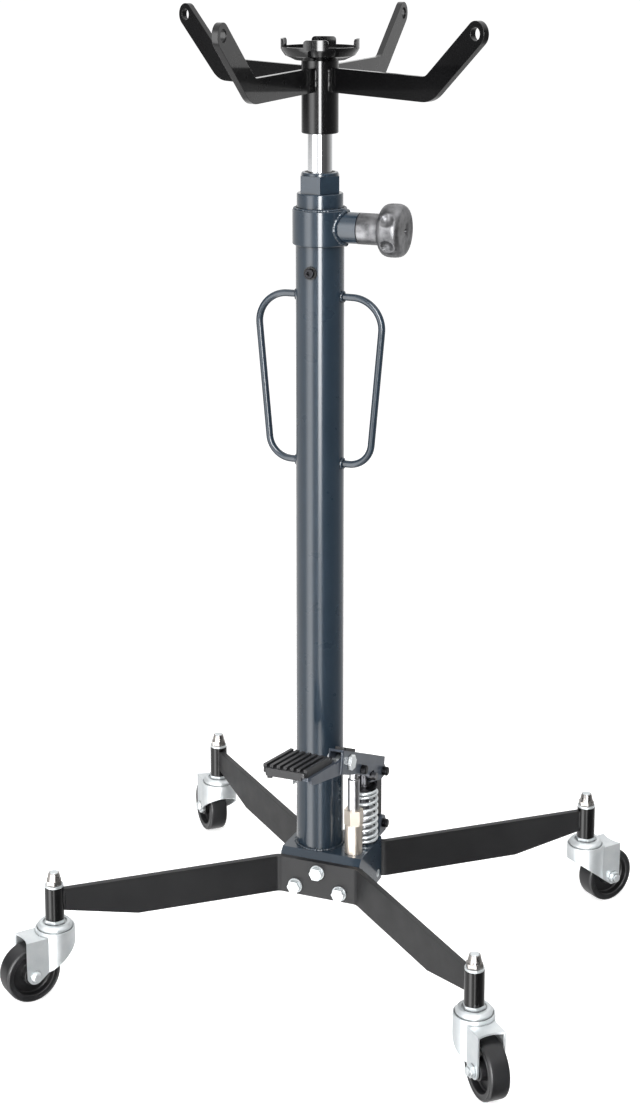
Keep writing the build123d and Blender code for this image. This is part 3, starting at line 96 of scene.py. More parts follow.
class Finish:
    """A Principled material with a few helpers that chain procedural nodes."""

    def __init__(self, name, metallic=0.0):
        self.material = bpy.data.materials.new(name)
        self.material.use_nodes = True
        self.tree = self.material.node_tree
        self.shader = self.tree.nodes["Principled BSDF"]
        self.shader.inputs["Metallic"].default_value = metallic
        self.coordinates = self.tree.nodes.new("ShaderNodeTexCoord").outputs["Object"]

    def link(self, source, target):
        self.tree.links.new(source, target)

    def stretched(self, scale):
        """Object coordinates, scaled unevenly along X, Y and Z."""
        mapping = self.tree.nodes.new("ShaderNodeMapping")
        mapping.inputs["Scale"].default_value = scale
        self.link(self.coordinates, mapping.inputs["Vector"])
        return mapping.outputs["Vector"]

    def noise(self, scale, detail, stretch=None):
        node = self.tree.nodes.new("ShaderNodeTexNoise")
        node.inputs["Scale"].default_value = scale
        node.inputs["Detail"].default_value = detail
        node.inputs["Roughness"].default_value = NOISE_ROUGHNESS
        self.link(self.stretched(stretch) if stretch else self.coordinates, node.inputs["Vector"])
        return node.outputs["Fac"]

    def ramp(self, source, stops):
        """A colour ramp, from (position, colour) stops."""
        node = self.tree.nodes.new("ShaderNodeValToRGB")
        elements = node.color_ramp.elements
        while len(elements) < len(stops):
            elements.new(0.5)
        for element, (position, colour) in zip(elements, stops):
            element.position = position
            element.color = (*colour, 1.0)
        self.link(source, node.inputs["Fac"])
        return node.outputs["Color"]

    def spread(self, source, low, high, out_low, out_high):
        """A clamped change of range."""
        node = self.tree.nodes.new("ShaderNodeMapRange")
        for socket, value in zip(RANGE_SOCKETS, (low, high, out_low, out_high)):
            node.inputs[socket].default_value = value
        self.link(source, node.inputs["Value"])
        return node.outputs["Result"]

    def mix(self, factor, first, second):
        node = self.tree.nodes.new("ShaderNodeMix")
        node.data_type = "RGBA"
        for socket_name, value in (("Factor", factor), ("A", first), ("B", second)):
            socket = node.inputs[socket_name]
            if isinstance(value, bpy.types.NodeSocket):
                self.link(value, socket)
            elif isinstance(value, tuple):
                socket.default_value = (*value, 1.0)
            else:
                socket.default_value = value
        return node.outputs["Result"]

    def corners(self, reach):
        """One in the open and nought in tight corners, where painted shade goes."""
        node = self.tree.nodes.new("ShaderNodeAmbientOcclusion")
        node.inputs["Distance"].default_value = reach
        node.samples = 6
        return self.spread(node.outputs["AO"], 0.35, 0.85, 0.0, 1.0)

    def done(self, colour, roughness, relief, relief_height):
        """Joins colour, roughness and a relief, whose height is in metres, to the shader."""
        self.link(colour, self.shader.inputs["Base Color"])
        self.link(roughness, self.shader.inputs["Roughness"])
        scaled = self.tree.nodes.new("ShaderNodeMath")
        scaled.operation = "MULTIPLY"
        scaled.inputs[1].default_value = relief_height
        self.link(relief, scaled.inputs[0])
        bump = self.tree.nodes.new("ShaderNodeBump")
        bump.inputs["Distance"].default_value = 1.0
        self.link(scaled.outputs[0], bump.inputs["Height"])
        self.link(bump.outputs["Normal"], self.shader.inputs["Normal"])
        return self.material


def painted(name, dark, light, roughness, grain, grain_height, coat=0.0, coat_roughness=0.1, sheen=0.25):
    """Paint or powder coat: a cloudy tone, a fine grain, painted shade in tight corners and a roughness that
    wanders a little.
    """
    finish = Finish(name)
    finish.shader.inputs["Specular IOR Level"].default_value = sheen
    finish.shader.inputs["Coat Weight"].default_value = coat
    finish.shader.inputs["Coat Roughness"].default_value = coat_roughness
    cloud = finish.noise(9.0, detail=3.0)
    speck = finish.noise(grain * 0.6, detail=2.0)
    colour = finish.ramp(cloud, [(0.3, dark), (0.7, light)])
    colour = finish.mix(finish.spread(speck, 0.55, 0.8, 0.0, 0.25), colour, tuple(1.35 * c for c in light))
    # painted shade: tight corners darken to about a third of the dark tone
    colour = finish.mix(finish.corners(0.006), tuple(0.35 * c for c in dark), colour)
    rough = finish.spread(finish.noise(30.0, detail=5.0), 0.3, 0.7, roughness - 0.05, roughness + 0.07)
    return finish.done(colour, rough, finish.noise(grain, detail=3.0), grain_height)


def metal(
    name, dark, light, roughness, brushed=None, grain=900.0, grain_height=0.000004, metallic=1.0, corner_shade_reach=0.0,
):
    """Bare or plated metal with a fine grain, which brushed stretches into lines along Z, and painted shade in
    tight corners when a reach for it is given.
    """
    finish = Finish(name, metallic=metallic)
    cloud = finish.noise(45.0, detail=4.0)
    colour = finish.ramp(cloud, [(0.3, dark), (0.7, light)])
    # painted shade: tight corners darken to about a fifth of the dark tone
    if corner_shade_reach:
        colour = finish.mix(finish.corners(corner_shade_reach), tuple(0.22 * c for c in dark), colour)
    lines = finish.noise(grain, detail=2.0, stretch=brushed)
    rough = finish.spread(lines, 0.25, 0.75, roughness - 0.06, roughness + 0.08)
    return finish.done(colour, rough, lines, grain_height)


def moulded(name, dark, light, roughness, grain, grain_height, corner_shade_reach=0.0):
    """Rubber or moulded plastic: almost one tone, with a fine skin, worn, dustier patches and painted shade in
    tight corners when a reach for it is given.
    """
    finish = Finish(name)
    dust = finish.noise(25.0, detail=6.0)
    colour = finish.ramp(dust, [(0.35, dark), (0.75, light)])
    # painted shade: tight corners darken to an eighth of the dark tone
    if corner_shade_reach:
        colour = finish.mix(finish.corners(corner_shade_reach), tuple(0.12 * c for c in dark), colour)
    rough = finish.spread(dust, 0.3, 0.7, roughness - 0.06, roughness + 0.10)
    return finish.done(colour, rough, finish.noise(grain, detail=4.0), grain_height)


# the reach at the end of some finishes is how far painted shade spreads from tight corners, in metres
finish_of_slot = {
    "enamel": painted(
        "blue_grey_enamel", (0.018, 0.031, 0.047), (0.023, 0.038, 0.056), roughness=0.30, grain=500.0,
        grain_height=0.000003, coat=0.9, coat_roughness=0.09, sheen=0.2,
    ),
    "leg_coat": painted(
        "charcoal_powder_coat", (0.016, 0.016, 0.017), (0.023, 0.023, 0.024), roughness=0.38, grain=1500.0,
        grain_height=0.00001, sheen=0.3,
    ),
    "saddle_paint": painted(
        "black_paint", (0.0035, 0.0035, 0.0038), (0.007, 0.007, 0.0075), roughness=0.30, grain=900.0,
        grain_height=0.000001, coat=0.9, coat_roughness=0.07, sheen=0.06,
    ),
    "lever_paint": painted(
        "lever_paint", (0.050, 0.061, 0.080), (0.064, 0.077, 0.098), roughness=0.34, grain=1100.0,
        grain_height=0.00001, coat=0.3, coat_roughness=0.15,
    ),
    "chrome": metal(
        "hard_chrome", (0.78, 0.79, 0.81), (0.88, 0.89, 0.90), roughness=0.09, grain_height=0.0000002,
    ),
    "zinc": metal(
        "bright_zinc", (0.68, 0.72, 0.74), (0.80, 0.83, 0.84), roughness=0.36, grain=500.0,
        grain_height=0.000001, metallic=0.55, corner_shade_reach=0.0035,
    ),
    "yellow_zinc": metal(
        "pale_yellow_zinc", (0.74, 0.65, 0.56), (0.80, 0.72, 0.63), roughness=0.34, grain=500.0,
        grain_height=0.0000006, metallic=0.85,
    ),
    "bright_steel": metal(
        "turned_steel", (0.46, 0.46, 0.48), (0.62, 0.62, 0.63), roughness=0.32, brushed=(6, 6, 1),
        grain_height=0.000003,
    ),
    "black_steel": metal(
        "blackened_steel", (0.018, 0.018, 0.020), (0.035, 0.035, 0.038), roughness=0.40, grain=800.0,
    ),
    "cast_knob": metal(
        "rough_casting", (0.035, 0.036, 0.039), (0.30, 0.30, 0.31), roughness=0.36, grain=420.0,
        grain_height=0.00016, metallic=0.75, corner_shade_reach=0.010,
    ),
    "seal_rubber": moulded(
        "seal_rubber", (0.012, 0.012, 0.012), (0.020, 0.020, 0.020), roughness=0.60, grain=900.0,
        grain_height=0.00002,
    ),
    "pad_rubber": moulded(
        "pad_rubber", (0.010, 0.010, 0.011), (0.021, 0.021, 0.023), roughness=0.42, grain=700.0,
        grain_height=0.00004,
    ),
    "wheel_nylon": moulded(
        "wheel_nylon", (0.013, 0.013, 0.014), (0.024, 0.024, 0.026), roughness=0.33, grain=900.0,
        grain_height=0.00001, corner_shade_reach=0.012,
    ),
}
# two nodes look a little different from the rest of their slot
finish_of_node = {
    "main_plunger": metal("oiled_steel", (0.10, 0.10, 0.11), (0.20, 0.20, 0.21), roughness=0.30),
    # the nuts get painted shade in their tight corners too
    "caster_nuts": metal(
        "dull_nickel", (0.30, 0.285, 0.275), (0.62, 0.59, 0.56), roughness=0.28, grain=300.0, metallic=0.95,
        corner_shade_reach=0.005,
    ),
}
slot_of_node = {entry["node"]: entry["material_slot"] for entry in frame["record"]["subparts"]}
bodies = frame["record"]["behaviour"]["bodies"]
body_of_node = {node: body for body, members in bodies.items() for node in members}
for name, node in nodes.items():
    node.data.materials.clear()
    node.data.materials.append(finish_of_slot[slot_of_node[name]])


# ---- piece kit ----
SHARP_EDGE = math.radians(28.0)
SAME_POINT = 0.000001        # metres, on shapes made here
SAME_CAD_POINT = 0.000002    # and on the CAD meshes


def piece(name, bm, body, slot_name, stands_for=(), smooth_angle=35.0, finish=None):
    """A piece from a closed bmesh that faces outwards, riding on its body."""
    mesh = bpy.data.meshes.new(name)
    bm.to_mesh(mesh)
    bm.free()
    mesh.polygons.foreach_set("use_smooth", [True] * len(mesh.polygons))
    mesh.set_sharp_from_angle(angle=math.radians(smooth_angle))
    made = bpy.data.objects.new(name, mesh)
    bpy.context.scene.collection.objects.link(made)
    mesh.materials.append(finish or finish_of_slot[slot_name])
    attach(made, body)
    if stands_for:
        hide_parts(*stands_for)
    return made


def rounded_copy(node_name, width, finish=None):
    """A copy of a CAD node with its edges rounded, which stands for the node."""
    bm = bmesh.new()
    bm.from_mesh(nodes[node_name].data)
    bmesh.ops.remove_doubles(bm, verts=bm.verts, dist=SAME_CAD_POINT)
    bmesh.ops.dissolve_limit(bm, angle_limit=math.radians(1.0), verts=bm.verts, edges=bm.edges)
    corners = [e for e in bm.edges if e.is_manifold and e.calc_face_angle(0.0) > SHARP_EDGE]
    bmesh.ops.bevel(
        bm, geom=corners, offset=width, offset_type="OFFSET", segments=2, profile=0.5,
        affect="EDGES", material=-1, clamp_overlap=True,
    )
    body, slot_name = body_of_node[node_name], slot_of_node[node_name]
    made = piece(node_name + "_shaped", bm, body, slot_name, (node_name,), finish=finish)
    weighted = made.modifiers.new("flat faces stay flat", "WEIGHTED_NORMAL")
    weighted.keep_sharp = True


# ---- pieces that keep their machined shape, with the edges broken ----
EDGES = {                    # width of the rounding in metres: nodes
    0.0002: ("filler_plug", "threaded_plugs", "relief_screw", "nut_washers", "leg_washers"),
    0.0004: (
        "leg_bolts", "caster_nuts", "caster_stems", "pedal_bolts", "fast_pump_pin", "link_pins",
        "fulcrum_link", "fast_pump_body", "main_pump_body", "main_plunger", "fast_plunger", "spring_cap",
        "upper_races", "fork_1", "fork_2", "fork_3", "fork_4", "axle_1", "axle_2", "axle_3", "axle_4",
    ),
    0.0006: (
        "pump_lever", "pedal_arm", "link_lug", "caster_sockets", "tank_cap", "gland_nut", "saddle_sleeve",
    ),
    0.0008: ("front_leg", "rear_leg", "cradle_arms", "tank_collar", "release_boss", "pedal_pad"),
    0.0012: ("base_block", "saddle_cup"),
}
for edge_width, names in EDGES.items():
    for name in names:
        rounded_copy(name, edge_width, finish_of_node.get(name))


def turned(profile, steps, closed=True):
    """A bmesh turned about Z from (radius, height) points."""
    bm = bmesh.new()
    corners = [bm.verts.new((radius, 0, height)) for radius, height in profile]
    for first, second in zip(corners, corners[1:]):
        bm.edges.new((first, second))
    if closed:
        bm.edges.new((corners[-1], corners[0]))
    bmesh.ops.spin(
        bm, geom=bm.verts[:] + bm.edges[:], cent=(0, 0, 0), axis=(0, 0, 1), angle=math.tau, steps=steps,
        use_merge=True, use_duplicate=False, dvec=(0, 0, 0), space=Matrix.Identity(4),
    )
    bmesh.ops.remove_doubles(bm, verts=bm.verts, dist=SAME_POINT)
    bmesh.ops.recalc_face_normals(bm, faces=bm.faces)
    return bm


def stand(bm, origin, direction=(0, 0, 1)):
    """Moves a turned shape so that its axis runs from origin along direction."""
    turn = Vector(direction).to_track_quat("Z", "Y").to_matrix().to_4x4()
    bmesh.ops.transform(bm, matrix=Matrix.Translation(origin) @ turn, verts=bm.verts)
    return bm


def centre_of(node_name):
    low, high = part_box(node_name)
    return (low + high) / 2


def weld_ring(name, radius, thickness, origin, direction, body, slot_name, seed, drape=None, ripples=26):
    """A weld bead round a joint: a rippled ring, whose points drape() may move onto the surface below."""
    dice = random.Random(seed)
    bm = bmesh.new()
    bmesh.ops.create_circle(bm, cap_ends=False, segments=10, radius=thickness)
    bmesh.ops.rotate(bm, cent=(0, 0, 0), matrix=Matrix.Rotation(math.pi / 2, 3, "X"), verts=bm.verts)
    bmesh.ops.translate(bm, vec=(radius, 0, 0), verts=bm.verts)
    steps = ripples * 5
    bmesh.ops.spin(
        bm, geom=bm.verts[:] + bm.edges[:], cent=(0, 0, 0), axis=(0, 0, 1), angle=math.tau, steps=steps,
        use_merge=True, use_duplicate=False, dvec=(0, 0, 0), space=Matrix.Identity(4),
    )
    bmesh.ops.remove_doubles(bm, verts=bm.verts, dist=SAME_POINT)
    sizes = [1.0 + dice.uniform(-0.22, 0.22) for _ in range(ripples)]
    for vert in bm.verts:
        angle = math.atan2(vert.co.y, vert.co.x) % math.tau
        place = angle / math.tau * ripples
        swell = sizes[int(place) % ripples] * (0.86 + 0.20 * abs(math.sin(math.pi * place)))
        middle = Vector((radius * math.cos(angle), radius * math.sin(angle), 0))
        vert.co = middle + (vert.co - middle) * swell
    stand(bm, origin, direction)
    if drape:
        for vert in bm.verts:
            vert.co = drape(vert.co)
    bmesh.ops.recalc_face_normals(bm, faces=bm.faces)
    return piece(name, bm, body, slot_name, smooth_angle=80.0)


# ---- return spring: closed coils at both ends, open ones between ----
spring_low, spring_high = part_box("return_spring")
spring_axis = (spring_low + spring_high) / 2
WIRE_R = 0.0022
coil_r = (spring_high.x - spring_low.x) / 2 - WIRE_R
CLOSED_TURNS = 1.0
OPEN_TURNS = 6.5
STEPS_PER_TURN = 40
CLOSED_PITCH = 1.04          # times the wire's diameter
closed_rise = 2 * WIRE_R * CLOSED_PITCH
open_rise = (spring_high.z - spring_low.z - 2 * WIRE_R - 2 * CLOSED_TURNS * closed_rise) / OPEN_TURNS
bm = bmesh.new()
bmesh.ops.create_circle(bm, cap_ends=True, segments=14, radius=WIRE_R)
bmesh.ops.rotate(bm, cent=(0, 0, 0), matrix=Matrix.Rotation(math.pi / 2, 3, "X"), verts=bm.verts)
bmesh.ops.translate(bm, vec=(coil_r, 0, WIRE_R), verts=bm.verts)
wire_end = bm.faces[:]
for turns, rise in ((CLOSED_TURNS, closed_rise), (OPEN_TURNS, open_rise), (CLOSED_TURNS, closed_rise)):
    steps = int(turns * STEPS_PER_TURN)
    spun = bmesh.ops.spin(
        bm, geom=wire_end, cent=(0, 0, 0), axis=(0, 0, 1), angle=turns * math.tau, steps=steps,
        use_merge=False, use_duplicate=False, dvec=(0, 0, rise * turns / steps), space=Matrix.Identity(4),
    )
    wire_end = [g for g in spun["geom_last"] if isinstance(g, bmesh.types.BMFace)]
bmesh.ops.recalc_face_normals(bm, faces=bm.faces)
stand(bm, (spring_axis.x, spring_axis.y, spring_low.z))
spring = piece("return_spring_coil", bm, "base", "zinc", ("return_spring",), smooth_angle=60.0)
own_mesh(spring)

# ---- wheels ----
TREAD_R = 0.038
HALF_TREAD = 0.0135
# (radius, half width) from the bore over the hub, the web and the rim's lip to the tread
half_wheel = [
    (0.0081, 0.0145), (0.0128, 0.0145), (0.0134, 0.0138), (0.0139, 0.0050), (0.0150, 0.0038),
    (0.0262, 0.0036), (0.0276, 0.0050), (0.0283, 0.0122), (0.0290, 0.0130), (0.0300, 0.0127),
    (0.0335, 0.0129), (0.0347, HALF_TREAD), (0.0362, 0.0130), (0.0374, 0.0118), (0.0379, 0.0098),
    (TREAD_R, 0.0060),
]
wheel_profile = half_wheel + [(radius, -height) for radius, height in reversed(half_wheel)]
for joint in frame["joints"]:
    if not joint["name"].startswith("wheel_spin"):
        continue
    body = joint["child"]
    bm = stand(turned(wheel_profile, steps=120), joint["pos_m"], joint["axis"])
    piece(body + "_moulded", bm, body, "wheel_nylon", (body,), smooth_angle=32.0)

# ---- release knob: a rounded head with finger dimples sunk into its rim ----
KNOB_R = 0.035
KNOB_FACE_R = 0.0250
KNOB_NECK_R = 0.0205
KNOB_EDGE = 0.0008
KNOB_HOLE_R = 0.0028
KNOB_HOLE_DEPTH = 0.0090
KNOB_DIMPLES = 6
DIMPLE_BALL = 0.0125
DIMPLE_DEPTH = 0.0056
knob_low, knob_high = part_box("release_knob")
knob_axis = (knob_low + knob_high) / 2
knob_length = knob_high.x - knob_low.x
HEAD_FROM = 0.0317           # along the knob from its neck's end
head_middle = (HEAD_FROM + knob_length) / 2
half_head = (knob_length - HEAD_FROM) / 2
knob_profile = [(0.0, 0.0004), (KNOB_NECK_R - KNOB_EDGE, 0.0), (KNOB_NECK_R, KNOB_EDGE)]
knob_profile += [(KNOB_NECK_R, KNOB_EDGE + 0.0015 * step) for step in range(1, 19)]
knob_profile += [(KNOB_NECK_R + 0.0006, HEAD_FROM - 0.0012), (KNOB_NECK_R + 0.002, HEAD_FROM - 0.0002)]
RIM_STEPS = 26
for step in range(RIM_STEPS + 1):
    angle = math.pi * (step / RIM_STEPS - 0.5)
    bulge = math.copysign(abs(math.sin(angle)) ** 0.82, angle)
    radius = KNOB_FACE_R + (KNOB_R - KNOB_FACE_R) * math.cos(angle) ** 0.72
    knob_profile.append((radius, head_middle + half_head * bulge))
face = knob_length - 0.0003
knob_profile += [(0.0225, knob_length - 0.0002), (0.0150, face), (KNOB_HOLE_R + 0.0006, face)]
knob_profile += [
    (KNOB_HOLE_R, face - 0.0009), (KNOB_HOLE_R, knob_length - KNOB_HOLE_DEPTH),
    (0.0, knob_length - KNOB_HOLE_DEPTH),
]
bm = turned(knob_profile, steps=180, closed=False)
for number in range(KNOB_DIMPLES):
    angle = math.tau * (number + 0.5) / KNOB_DIMPLES
    outward = Vector((math.cos(angle), math.sin(angle), 0))
    ball = outward * (KNOB_R - DIMPLE_DEPTH + DIMPLE_BALL) + Vector((0, 0, head_middle))
    for vert in bm.verts:
        reach = (vert.co - ball).length
        if reach < DIMPLE_BALL:
            vert.co -= outward * (DIMPLE_BALL - reach) * 0.96
stand(bm, (knob_low.x, knob_axis.y, knob_axis.z), (1, 0, 0))
piece("release_knob_cast", bm, "release_knob", "cast_knob", ("release_knob",), smooth_angle=60.0)

# ---- welds ----
TANK_R = 0.03175
COLLAR_R = 0.036
HANDLE_R = 0.00475
BOSS_R = 0.0205
BEAD_R = 0.0022
tank_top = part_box("reservoir_tank")[1].z


def onto_column(column_r):
    """Moves a bead's points along X so that the ring lies on a column of that radius."""
    def drape(point):
        inward = column_r - math.sqrt(max(column_r**2 - point.y**2, 0.0))
        side = 1.0 if point.x > COLUMN_X else -1.0
        return Vector((point.x - side * inward, point.y, point.z))
    return drape


for handle in ("handle_left", "handle_right"):
    low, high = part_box(handle)
    side = 1.0 if high.x > COLUMN_X + TANK_R * 1.5 else -1.0
    for number, height in enumerate((low.z + HANDLE_R, high.z - HANDLE_R)):
        origin = (COLUMN_X + side * (TANK_R + 0.0006), 0, height)
        weld_ring(
            f"{handle}_weld_{number}", HANDLE_R + 0.0012, BEAD_R, origin, (side, 0, 0), "base", "enamel",
            seed=number + 11, drape=onto_column(TANK_R), ripples=9,
        )
release_z = centre_of("release_boss").z
weld_ring(
    "boss_weld", BOSS_R + 0.0008, 0.0030, (COLUMN_X + COLLAR_R, 0, release_z), (1, 0, 0), "base", "enamel",
    seed=5, drape=onto_column(COLLAR_R), ripples=30,
)
weld_ring(
    "cap_weld", 0.0325, BEAD_R, (COLUMN_X, 0, tank_top + 0.0004), (0, 0, 1), "base", "enamel", seed=7,
    ripples=48,
)
block_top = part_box("base_block")[1].z
weld_ring(
    "column_foot_weld", TANK_R + 0.0006, BEAD_R, (COLUMN_X, 0, block_top), (0, 0, 1), "base", "enamel",
    seed=8, ripples=48,
)

# ---- welds at the leg tips and the cradle ----
SOCKET_R = 0.0125
leg_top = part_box("front_leg")[1].z
SLEEVE_R = 0.024


def weld_strip(name, start, end, thickness, body, slot_name, seed):
    """A weld bead along a straight seam, tapering at both ends."""
    dice = random.Random(seed)
    start, end = Vector(start), Vector(end)
    run = end - start
    slices = max(8, int(run.length / 0.0011))
    bm = bmesh.new()
    bmesh.ops.create_circle(bm, cap_ends=True, segments=10, radius=thickness)
    last = bm.faces[:]
    for _ in range(slices):
        made = bmesh.ops.extrude_face_region(bm, geom=last)
        bmesh.ops.delete(bm, geom=last, context="FACES_ONLY")
        bmesh.ops.translate(
            bm, vec=(0, 0, run.length / slices),
            verts=[g for g in made["geom"] if isinstance(g, bmesh.types.BMVert)],
        )
        last = [g for g in made["geom"] if isinstance(g, bmesh.types.BMFace)]
    ripple = slices / 2.4
    swells = [1.0 + dice.uniform(-0.25, 0.25) for _ in range(slices + 2)]
    for vert in bm.verts:
        share = vert.co.z / run.length
        taper = math.sqrt(max(0.02, 1 - (2 * share - 1) ** 4))
        swell = swells[int(share * ripple)] * (0.88 + 0.18 * abs(math.sin(math.pi * share * ripple)))
        vert.co.x *= taper * swell
        vert.co.y *= taper * swell
    bmesh.ops.recalc_face_normals(bm, faces=bm.faces)
    stand(bm, start, run)
    return piece(name, bm, body, slot_name, smooth_angle=80.0)


def seam_pair(name, centre, toward, half_plate, post_r, low, high, thickness, body, slot_name, seed):
    """Two upright beads where a plate meets a round post."""
    toward = Vector((toward[0], toward[1], 0)).normalized()
    across = Vector((-toward.y, toward.x, 0))
    reach = math.sqrt(post_r**2 - half_plate**2)
    for side in (-1, 1):
        foot = Vector((centre[0], centre[1], 0)) + toward * reach + across * (side * half_plate)
        side_name = "left" if side > 0 else "right"
        weld_strip(
            f"{name}_{side_name}", (foot.x, foot.y, low), (foot.x, foot.y, high), thickness, body, slot_name,
            seed + side,
        )


PLATE = 0.008                # thickness of the legs and of the cradle arms
BLOCK_CORNER = Vector((0.057, 0.047, 0))
tip_low = leg_top - 0.026
for number, (side_x, side_y) in enumerate(((-1, -1), (1, -1), (1, 1), (-1, 1)), start=1):
    swivel = next(joint for joint in frame["joints"] if joint["name"] == f"swivel_{number}")["pos_m"]
    towards_block = (side_x * BLOCK_CORNER.x - swivel[0], side_y * BLOCK_CORNER.y - swivel[1])
    seam_pair(
        f"leg_tip_weld_{number}", swivel, towards_block, PLATE / 2, SOCKET_R, tip_low, leg_top - 0.001,
        0.0019, "base", "leg_coat", 30 + 4 * number,
    )
arms_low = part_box("cradle_arms")[0]
for number, turn in enumerate((-90, -30, 90, 150)):
    seam_pair(
        f"arm_weld_{number}", (COLUMN_X, 0), (math.cos(math.radians(turn)), math.sin(math.radians(turn))),
        PLATE / 2, SLEEVE_R, arms_low.z + 0.001, arms_low.z + 0.030, 0.0024, "saddle", "saddle_paint",
        60 + 4 * number,
    )

# ---- floor and light ----
FLOOR_GLOW = 0.72            # for the camera only, so that the floor looks white
AMBIENT = 0.42
CEILING = 1.1

floor_mesh = bmesh.new()
bmesh.ops.create_grid(floor_mesh, x_segments=1, y_segments=1, size=60.0)
floor_data = bpy.data.meshes.new("floor")
floor_mesh.to_mesh(floor_data)
floor_mesh.free()
floor = bpy.data.objects.new("floor", floor_data)
bpy.context.scene.collection.objects.link(floor)
floor.location = (0, 0, cad_low.z - 0.0005)
floor.visible_glossy = False

floor_finish = bpy.data.materials.new("pale_floor")
floor_finish.use_nodes = True
tree = floor_finish.node_tree
floor_shader = tree.nodes["Principled BSDF"]
floor_shader.inputs["Base Color"].default_value = (0.80, 0.80, 0.80, 1.0)
floor_shader.inputs["Roughness"].default_value = 0.9
floor_shader.inputs["Specular IOR Level"].default_value = 0.0
glow = tree.nodes.new("ShaderNodeEmission")
light_path = tree.nodes.new("ShaderNodeLightPath")
seen = tree.nodes.new("ShaderNodeMath")
seen.operation = "MULTIPLY"
seen.inputs[1].default_value = FLOOR_GLOW
tree.links.new(light_path.outputs["Is Camera Ray"], seen.inputs[0])
tree.links.new(seen.outputs[0], glow.inputs["Strength"])
both = tree.nodes.new("ShaderNodeAddShader")
tree.links.new(floor_shader.outputs[0], both.inputs[0])
tree.links.new(glow.outputs[0], both.inputs[1])
tree.links.new(both.outputs[0], tree.nodes["Material Output"].inputs["Surface"])
floor_data.materials.append(floor_finish)

world = bpy.data.worlds.new("studio")
bpy.context.scene.world = world
world.use_nodes = True
tree = world.node_tree
background = tree.nodes["Background"]
direction = tree.nodes.new("ShaderNodeTexCoord").outputs["Generated"]


def along(vector):
    """How far a direction points along a fixed one."""
    node = tree.nodes.new("ShaderNodeVectorMath")
    node.operation = "DOT_PRODUCT"
    node.inputs[1].default_value = vector
    tree.links.new(direction, node.inputs[0])
    return node.outputs["Value"]


# what the paint and the metal mirror: the studio's walls by compass, with the camera's side in the middle
# of the ramp, a soft lamp to the left of it and an upright strip lamp in line with the camera
turn = tree.nodes.new("ShaderNodeMath")
turn.operation = "ARCTAN2"
tree.links.new(along((math.cos(VIEW_TURN), math.sin(VIEW_TURN), 0)), turn.inputs[0])
tree.links.new(along((math.sin(VIEW_TURN), -math.cos(VIEW_TURN), 0)), turn.inputs[1])


def by_compass(stops):
    """A value for each direction, from (degrees to the right of the camera, value) stops."""
    share = tree.nodes.new("ShaderNodeMapRange")
    share.inputs["From Min"].default_value = -math.pi
    share.inputs["From Max"].default_value = math.pi
    tree.links.new(turn.outputs[0], share.inputs["Value"])
    ramp = tree.nodes.new("ShaderNodeValToRGB")
    while len(ramp.color_ramp.elements) < len(stops):
        ramp.color_ramp.elements.new(0.5)
    for element, (degrees, value) in zip(ramp.color_ramp.elements, stops):
        element.position = (degrees + 180) / 360
        element.color = (value, value, value, 1.0)
    tree.links.new(share.outputs["Result"], ramp.inputs["Fac"])
    return ramp.outputs["Color"]


def combined(operation, first, second):
    node = tree.nodes.new("ShaderNodeMath")
    node.operation = operation
    for socket, value in ((node.inputs[0], first), (node.inputs[1], second)):
        if isinstance(value, bpy.types.NodeSocket):
            tree.links.new(value, socket)
        else:
            socket.default_value = value
    return node.outputs[0]


def between(value, low, high, out_low, out_high):
    node = tree.nodes.new("ShaderNodeMapRange")
    for socket, number in zip(RANGE_SOCKETS, (low, high, out_low, out_high)):
        node.inputs[socket].default_value = number
    tree.links.new(value, node.inputs["Value"])
    return node.outputs["Result"]


def choose(factor, low, high):
    node = tree.nodes.new("ShaderNodeMix")
    node.data_type = "FLOAT"
    tree.links.new(factor, node.inputs["Factor"])
    for socket, value in ((node.inputs["A"], low), (node.inputs["B"], high)):
        if isinstance(value, bpy.types.NodeSocket):
            tree.links.new(value, socket)
        else:
            socket.default_value = value
    return node.outputs["Result"]


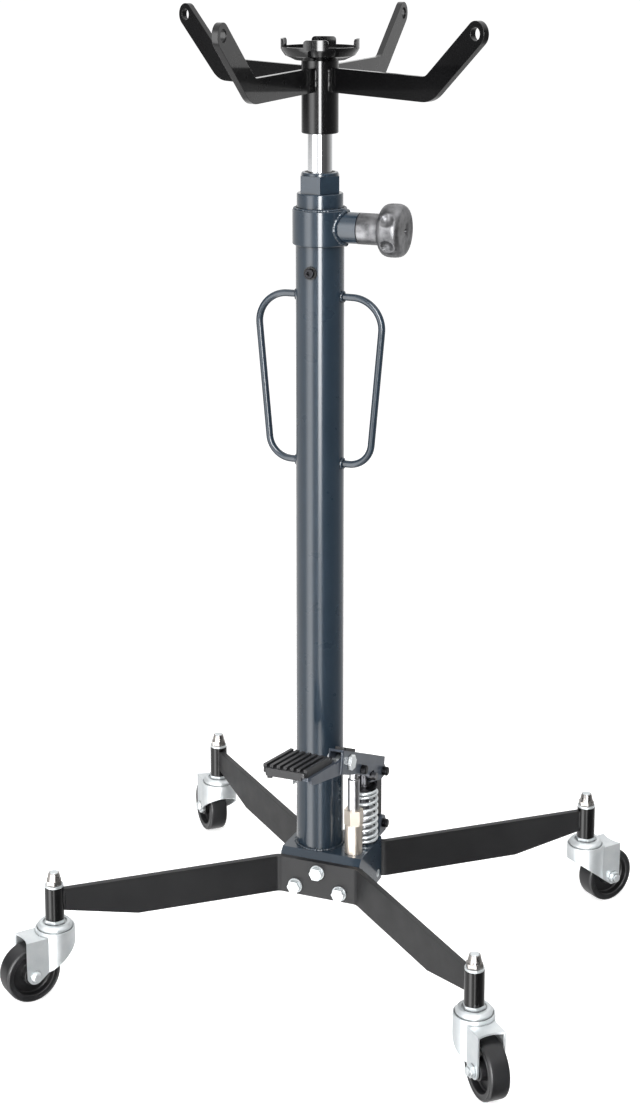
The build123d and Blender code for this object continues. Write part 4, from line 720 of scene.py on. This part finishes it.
walls = by_compass((
    (-180, 0.90), (-140, 0.80), (-100, 0.90), (-74, 1.00), (-58, 3.80), (-44, 4.60), (-30, 1.30), (-18, 0.80),
    (12, 0.45), (20, 0.10), (60, 0.08), (95, 0.25), (130, 0.60), (180, 0.90),
))
strip = by_compass(((-180, 0.0), (-10, 0.0), (-5, 1.0), (5, 1.0), (10, 0.0), (180, 0.0)))
upward = along((0, 0, 1))
# the left wall is dark from about eye level up, so that two of the cradle arms mirror black
shade = by_compass(((-180, 1.0), (-150, 1.0), (-125, 0.12), (-85, 0.12), (-72, 1.0), (180, 1.0)))
walls = combined("MULTIPLY", walls, choose(between(upward, -0.12, -0.09, 0.0, 1.0), 1.0, shade))
strip = combined("MULTIPLY", strip, between(upward, -0.30, -0.12, 2.2, 24.0))
walls = combined("ADD", walls, strip)
ceiling = between(upward, 0.35, 0.75, 0.0, 1.0)
light_path = tree.nodes.new("ShaderNodeLightPath")
mirrored = choose(ceiling, walls, CEILING)
lit = choose(light_path.outputs["Is Glossy Ray"], AMBIENT, mirrored)
tree.links.new(choose(light_path.outputs["Is Camera Ray"], lit, 1.0), background.inputs["Strength"])
background.inputs["Color"].default_value = (1.0, 1.0, 1.0, 1.0)


def softbox(name, turn, height, distance, width, tall, power, aim=0.62):
    """A rectangular lamp round the jack; turn 0 is behind the camera, positive to its right."""
    lamp = bpy.data.lights.new(name, "AREA")
    lamp.shape = "RECTANGLE"
    lamp.size = width
    lamp.size_y = tall
    lamp.energy = power
    placed = bpy.data.objects.new(name, lamp)
    bpy.context.scene.collection.objects.link(placed)
    angle = VIEW_TURN + math.radians(turn)
    spot = Vector((COLUMN_X + distance * math.sin(angle), -distance * math.cos(angle), height))
    placed.location = spot
    placed.rotation_euler = (Vector((COLUMN_X, 0, aim)) - spot).to_track_quat("-Z", "Y").to_euler()
    placed.visible_glossy = False


softbox("front_panel", 5, 1.6, 3.2, 0.6, 2.4, 30)
softbox("left_panel", -58, 1.5, 2.6, 0.8, 2.2, 34)
softbox("right_panel", 75, 1.4, 2.8, 0.5, 2.0, 10)
softbox("top_panel", 10, 3.0, 1.2, 1.8, 1.8, 46)

bpy.context.scene.view_settings.view_transform = "Standard"
